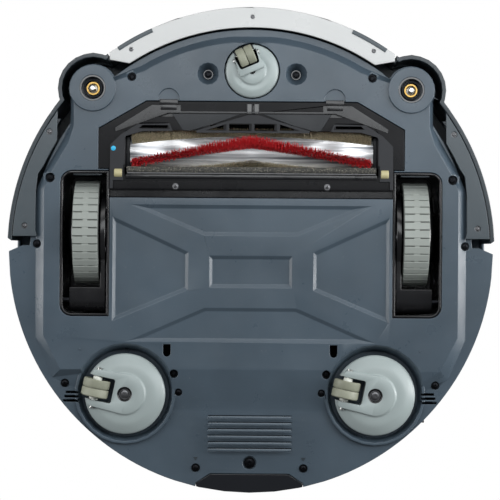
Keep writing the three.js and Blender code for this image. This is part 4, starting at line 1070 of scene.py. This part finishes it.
def bearing_cap(label):
    side = SIDES[label]
    bm = None
    for x0, x1, z in ((88.6, 91.2, 15.4), (91.6, 93.2, 14.6), (93.5, 95.4, 15.8)):
        low, high = sorted((side * x0, side * x1))
        bm = box_part(bm, (low, -82.2, z), (high, -60.4, 33), 0.3)
    name = f"brush_bearing_{label}"
    stand_in(name, "ribs", bm, MATTE_BLACK)


def guide_roller(label):
    side = SIDES[label]
    place = placed(side * 96.65, -55.8, 8.8, 90, "Y")
    barrel = smooth_curve([(1.1, -2.85), (2.6, -2.85), (3.15, -2.3), (3.2, 0), (3.15, 2.3), (2.6, 2.85),
                           (1.1, 2.85)], 5)
    bm = spun(None, barrel + [barrel[0]], 48, matrix=place)
    name = f"guide_roller_{label}"
    stand_in(name, "barrel", bm, GUIDE_NYLON)
    pin = rod_part(None, 1.0, -3.4, 3.4, matrix=place)
    to_object(f"{name}_pin", pin, STEEL, "brush_frame")


def latch(label):
    side = SIDES[label]
    x = side * LATCH_X
    bm = box_part(None, (x - 6.9, -104.4, 9.2), (x + 6.9, -100.2, 12.2), bevel=0.4)
    bm = box_part(bm, (x - 6.6, -109.4, 8.2), (x + 6.6, -105.2, 8.9), bevel=0.3)
    bm = box_part(bm, (x - 5.8, -106.0, 8.3), (x + 5.8, -101.6, 9.6), bevel=0.3)
    name = f"brush_latch_{label}"
    stand_in(name, "tab", bm, BLACK)


GUIDE_NYLON = plastic("guide_nylon", (176, 168, 128), 0.45, 0.04, 0.08, spread=0.05)
BLUE = plastic("blue_dot", (40, 170, 214), 0.35, 0.01, 0.0, spread=0.02)
for label in SIDES:
    bearing_cap(label)
    guide_roller(label)
    latch(label)
dot = spun(None, [(0, 7.25), (1.2, 7.3), (1.75, 7.55), (1.8, 7.9), (0, 7.9)], 32,
           matrix=placed(-100.2, -73.6, 0))
frame_piece("blue_dot", dot, BLUE)

# %% [markdown]
# ## Screws, spindles and small marks
# The holes in the shells get their screws, each a pan head with a cross recess. The side-brush
# spindles are bare: a ground pin, a brass bush and a dark collar. The two deep cones get a black disc of painted
# shade at their bottom and a screw whose dark colour is painted shade too, a thin strip follows the silver lip at
# each side, and the vents get their louvres.

# %% Screws
BASE_SCREWS = [(87.3, -125.7, 3.3), (146.1, -52.1, 3.6), (55.3, 89.7, 3.2), (52, 103.4, 2.8),
               (134.7, 97.2, 3.2),
               (39.2, 158.3, 3.2), (155.6, -4, 3.1)]
BASE_FLOOR = 13.4  # heights of the screw heads in the pan, the side plates, the lip and the cones
PLATE_FLOOR = 11.7
LIP_FLOOR = 11.6
REAR_FLOOR = 14.8
CONE_FLOOR = 17.4
PLATE_SCREWS = [(147, -85.4, 2.2), (164.6, -17, 2.2)]
LIP_SCREWS = [(88.1, -145.5, 1.6)]


def screw(name, x, y, z, radius, body, material, depth=1.4):
    to_object(name, screw_head(radius, depth, placed(x, y, z)), material, body)


def both_sides(points):
    return [(side * x, y, *rest) for x, y, *rest in points for side in (-1, 1)]


for i, (x, y, r) in enumerate(both_sides(BASE_SCREWS)):
    screw(f"base_screw_{i}", x, y, BASE_FLOOR, r * 0.66, "root", DARK_STEEL_AND_SHADE)
for i, (x, y, r) in enumerate(both_sides(PLATE_SCREWS)):
    screw(f"plate_screw_{i}", x, y, PLATE_FLOOR, r * 0.68, "bumper", SCREW_STEEL, 1.0)
for i, (x, y, r) in enumerate([(0, -169.8, 1.6), *both_sides(LIP_SCREWS)]):
    screw(f"lip_screw_{i}", x, y, LIP_FLOOR, r * 0.7, "bumper", SCREW_STEEL, 0.9)
# The rear screw is dark partly as painted shade of its deep hole.
screw("rear_screw", 0, 154.5, REAR_FLOOR, 3.2, "root", DARK_STEEL_AND_SHADE, 1.6)


def painted_shade_disc(name, x, y, radius, z):
    """A black disc of painted shade at the bottom of a deep hole, with its screw, which is dark as painted shade
    too.
    """
    disc = rod_part(None, radius, z, z + 0.5, centre=(x, y), steps=40)
    on_body(f"{name}_floor", disc, GLOSS_BLACK)
    screw(f"{name}_screw", x, y, z - 1.4, radius * 0.62, "root", DARK_STEEL_AND_SHADE)


for label, side in SIDES.items():
    painted_shade_disc(f"cone_{label}", side * 32, -128.2, 3.6, CONE_FLOOR)
    screw(f"band_screw_{label}", side * 55.0, -46.4, 7.9, 1.7, "brush_frame", SCREW_STEEL, 0.9)

# %% Side-brush spindles
SPINDLE_X, SPINDLE_Y = 115.5, -117.2


def spindle(label):
    side = SIDES[label]
    place = placed(side * SPINDLE_X, SPINDLE_Y, 0)
    name = f"side_brush_spindle_{label}"
    pin = [(0, 6.6), (1.5, 6.6), (2.1, 7.2), (2.2, 9), (1.7, 9.4), (1.7, 10.6), (2.2, 11), (2.2, 16.6),
           (4.1, 16.9),
           (4.6, 17.2), (4.6, 19.2), (2.2, 19.4), (2.2, 28.9), (0, 28.9)]
    stand_in(name, "pin", spun(None, pin, 56, matrix=place), STEEL)
    bush = [(3.7, 13.2), (4.7, 13.2), (4.9, 13.5), (4.9, 16.4), (3.7, 16.4), (3.7, 13.2)]
    collar = [(5.9, 12.4), (6.7, 12.4), (6.9, 12.7), (6.9, 19), (5.9, 19), (5.9, 12.4)]
    on_body(f"{name}_collar", spun(None, collar, 64, matrix=place), DARK_STEEL_AND_SHADE)
    to_object(f"{name}_bush", spun(None, bush, 56, matrix=place), BRASS, f"side_spindle_{label}")
    ring = [(8.2, 7.1), (9.3, 7.1), (9.4, 7.4), (9.4, 19.8), (8.6, 19.8), (8.2, 7.1)]
    on_body(f"{name}_cup", spun(None, ring, 64, matrix=place), GLOSS_BLACK)


for label in SIDES:
    spindle(label)

# %% Strip outside the lip, louvres and small marks
VENT_Y, VENT_PITCH = 121.2, 4.72


def arc_band(r0, r1, start, end, steps=60):
    """The outline of a ring piece between two angles, in millimetres."""
    turns = [radians(start + (end - start) * k / steps) for k in range(steps + 1)]
    outer = [(r1 * cos(t), r1 * sin(t)) for t in turns]
    inner = [(r0 * cos(t), r0 * sin(t)) for t in reversed(turns)]
    return outer + inner


for label, start, end in (("right", -65.5, -56.3), ("left", -123.7, -114.5)):
    strip = outline_part(None, arc_band(173.8, 176.9, start, end), 10.6, 11.3, 0.15)
    strip = outline_part(strip, arc_band(176.55, 176.9, start, end), 11, 14)
    to_object(f"lip_strip_{label}", strip, PLATE, "bumper")


def louvres():
    """Slats that lean into each vent slit and leave only a thin dark gap."""
    bm = None
    for i in range(6):
        lean = placed(0, VENT_Y + VENT_PITCH * i, 9.75, -12, "X")
        bm = box_part(bm, (-30.2, -1.05, -0.3), (30.2, 0.6, 0.3), bevel=0.12, matrix=lean)
    on_body("vent_louvres", bm, SLATE)


def triangle_mark(x, y, size):
    points = [(x - size, y - size * 0.55), (x + size, y - size * 0.55), (x, y + size * 0.9)]
    return outline_part(None, points, 14.75, 15.2)


louvres()
for label, side in SIDES.items():
    on_body(f"mark_{label}", triangle_mark(side * 39.2, 151.4, 1.7), DARK)
    pip = spun(None, [(0, 8.6), (0.7, 8.65), (1.0, 9.1), (0, 9.1)], 24,
               matrix=placed(side * 123.4, 72.3, 0))
    on_body(f"pip_{label}", pip, SLATE)

# %% [markdown]
# ## Parts inside and on top
# Nobody sees these from underneath, but the lid opens and the shells come off. The bin door gets its
# grip, the filter its pleats, the motors their cans, the battery its wrapped cells and plug, and the
# board its chips and plugs. Buttons and lens are spun.

# %% Finishes of the inner parts
WRAP = plastic("battery_wrap", (40, 82, 138), 0.3, 0.04, 0.03, coat=0.35, spread=0.04)
BOARD_GREEN = speckled("board_green", (18, 74, 44), (40, 110, 66), 700, 0.56, 0.45)
PAPER = speckled("filter_paper", (208, 204, 192), (232, 230, 222), 1500, 0.5, 0.95)
CHIP = plastic("chip_black", (26, 26, 28), 0.38, 0.03, 0.04)
CREAM = plastic("connector_cream", (214, 208, 186), 0.45, 0.03, 0.04, spread=0.04)
CLEAR_DARK = plastic("smoked_bin", (52, 56, 62), 0.16, 0.01, 0.05, coat=0.5)

# %% Bin and filter


def dust_bin():
    moulded("dust_bin_body", DARK, 0.6)
    moulded("dust_bin_door", CLEAR_DARK, 0.5)
    grip = None
    for k in range(7):
        x = -18 + 6 * k
        grip = box_part(grip, (x - 1.4, -57, 83.8), (x + 1.4, -44, 84.8), bevel=0.4)
    to_object("bin_grip", grip, DARK, body_of("dust_bin_door"))


def filter_cell():
    """Folded paper in a frame."""
    frame_ring = cut_away(box_part(None, (-44.6, 55.9, 48.4), (44.6, 61.4, 77), bevel=0.5),
                          box_part(None, (-42, 54, 51), (42, 64, 74.4)))
    to_object("filter_frame", frame_ring, DARK, body_of("dust_filter"))
    folds = 42
    points = [(-42 + 84 * k / folds, 56.6 if k % 2 else 59.4) for k in range(folds + 1)]
    back = [(x, y + 0.9) for x, y in reversed(points)]
    pleats = outline_part(None, points + back, 51, 74.4)
    to_object("filter_pleats", pleats, PAPER, body_of("dust_filter"), ("dust_filter",))


dust_bin()
filter_cell()

# %% Fan, motors and battery
CAN_R = 12


def can(node, axis_matrix, radius, length):
    """A motor can: rolled edges, a nose and a crimped seam."""
    profile = [(0, 0), (radius * 0.32, 0), (radius * 0.32, 0.8), (radius - 1.2, 0.8), (radius - 0.1, 1.9),
               (radius - 0.1, length * 0.62), (radius - 0.5, length * 0.64), (radius - 0.5, length * 0.67),
               (radius - 0.1, length * 0.69), (radius - 0.1, length - 1), (radius - 1, length), (0, length)]
    bm = spun(None, profile, 64, matrix=axis_matrix)
    stand_in(node, "can", bm, MOTOR_CAN)


def battery():
    """Seven cells side by side under shrink wrap."""
    bm = None
    cells, pitch, radius = 7, 18.9, 9.3
    for k in range(cells):
        lie = placed(-56.6 + pitch * k, 0, 24, -90, "X")
        bm = rod_part(bm, radius, -31, 39, bevel=1.2, steps=48, matrix=lie)
    bm = box_part(bm, (-57, -31.6, 15.2), (57, 39.6, 32.8), bevel=0.8)
    bm = box_part(bm, (-64, -31.9, 33.6), (64, 39.9, 39.6), bevel=1.4)
    to_object("battery_cells", bm, WRAP, "root", ("battery_pack",))
    plug = box_part(None, (40, -30, 39.4), (56, -22, 44), bevel=0.6)
    on_body("battery_plug", plug, CREAM)


moulded("fan_unit", DARK, 0.8)
can("brush_motor", placed(90, -116.5, 46, -90, "Y"), CAN_R, 50)
for label, side in SIDES.items():
    can(f"side_brush_motor_{label}", placed(side * SPINDLE_X, SPINDLE_Y, 29.5), CAN_R, 34.5)
    pin = placed(side * 103.4, 37, 24, side * 90, "Y")
    shaft = rod_part(None, 3, 0, 33.8, bevel=0.6, steps=48, matrix=pin)
    node = f"suspension_pin_{label}"
    stand_in(node, "shaft", shaft, DARK_STEEL_AND_SHADE)
battery()

# %% Board


def board():
    plate = box_part(None, (-70, -140, 66), (70, -108, 67.6), bevel=0.2)
    to_object("board_plate", plate, BOARD_GREEN, "root", ("main_board",))
    rng = random.Random("chips")
    chips = None
    for x, y, w, d in ((-40, -124, 14, 14), (-12, -120, 10, 8), (14, -128, 12, 10), (48, -122, 16, 12)):
        chips = box_part(chips, (x - w / 2, y - d / 2, 67.5), (x + w / 2, y + d / 2, 69), bevel=0.2)
    for _ in range(46):
        x, y = rng.uniform(-66, 66), rng.uniform(-137, -111)
        chips = box_part(chips, (x - 0.9, y - 0.5, 67.5), (x + 0.9, y + 0.5, 68.2))
    on_body("board_chips", chips, CHIP)
    plugs = None
    for x in (-58, -48, 28, 38, 62):
        plugs = box_part(plugs, (x - 3.6, -138.6, 67.5), (x + 3.6, -133.6, 72), bevel=0.4)
    on_body("board_plugs", plugs, CREAM)


board()

# %% Controls, lens, socket and switch
BUTTON_Y = -118
LENS_Y = -82


def controls():
    moulded("control_panel", CLEAR_DARK, 0.3)
    for x, label in ((-24, "home"), (0, "start"), (24, "mode")):
        body = f"button_{label}"
        cap = smooth_curve([(0, 88.55), (4.5, 88.6), (6.4, 88.85)], 4) + [(7.1, 88.85), (7.45, 88.5),
                                                                          (7.45, 84), (0, 84)]
        bm = spun(None, cap, 64, matrix=placed(x, BUTTON_Y, 0))
        stand_in(body, "cap", bm, SILVER)
        ring = [(7.75, 88.2), (8.0, 89.0), (8.7, 89.05), (8.9, 88.7), (8.9, 88.2), (7.75, 88.2)]
        bm = spun(None, ring, 64, matrix=placed(x, BUTTON_Y, 0))
        on_body(f"{body}_ring", bm, DARK)


def lens():
    barrel = [(0, 86.3), (6.4, 86.4), (8.2, 87.9), (10.2, 88.6), (12.2, 88.6), (12.6, 88.2),
              (12.6, 85.8), (9, 85.8),
              (9, 68.4), (0, 68.4)]
    bm = spun(None, barrel, 72, matrix=placed(0, LENS_Y, 0))
    to_object("lens_barrel", bm, BLACK, "root", ("camera_lens",))
    glass = smooth_curve([(0, 88.0), (3, 87.7), (5.4, 86.9), (6.2, 86.35)], 5) + [(0, 86.35)]
    bm = spun(None, glass, 64, matrix=placed(0, LENS_Y, 0))
    on_body("lens_glass", bm, GLOSS_BLACK)


controls()
lens()
moulded("charge_socket", BLACK, 0.3)
moulded("power_switch", SILVER, 0.5)
moulded("bumper_sensor_window", SMOKED, 0.3)
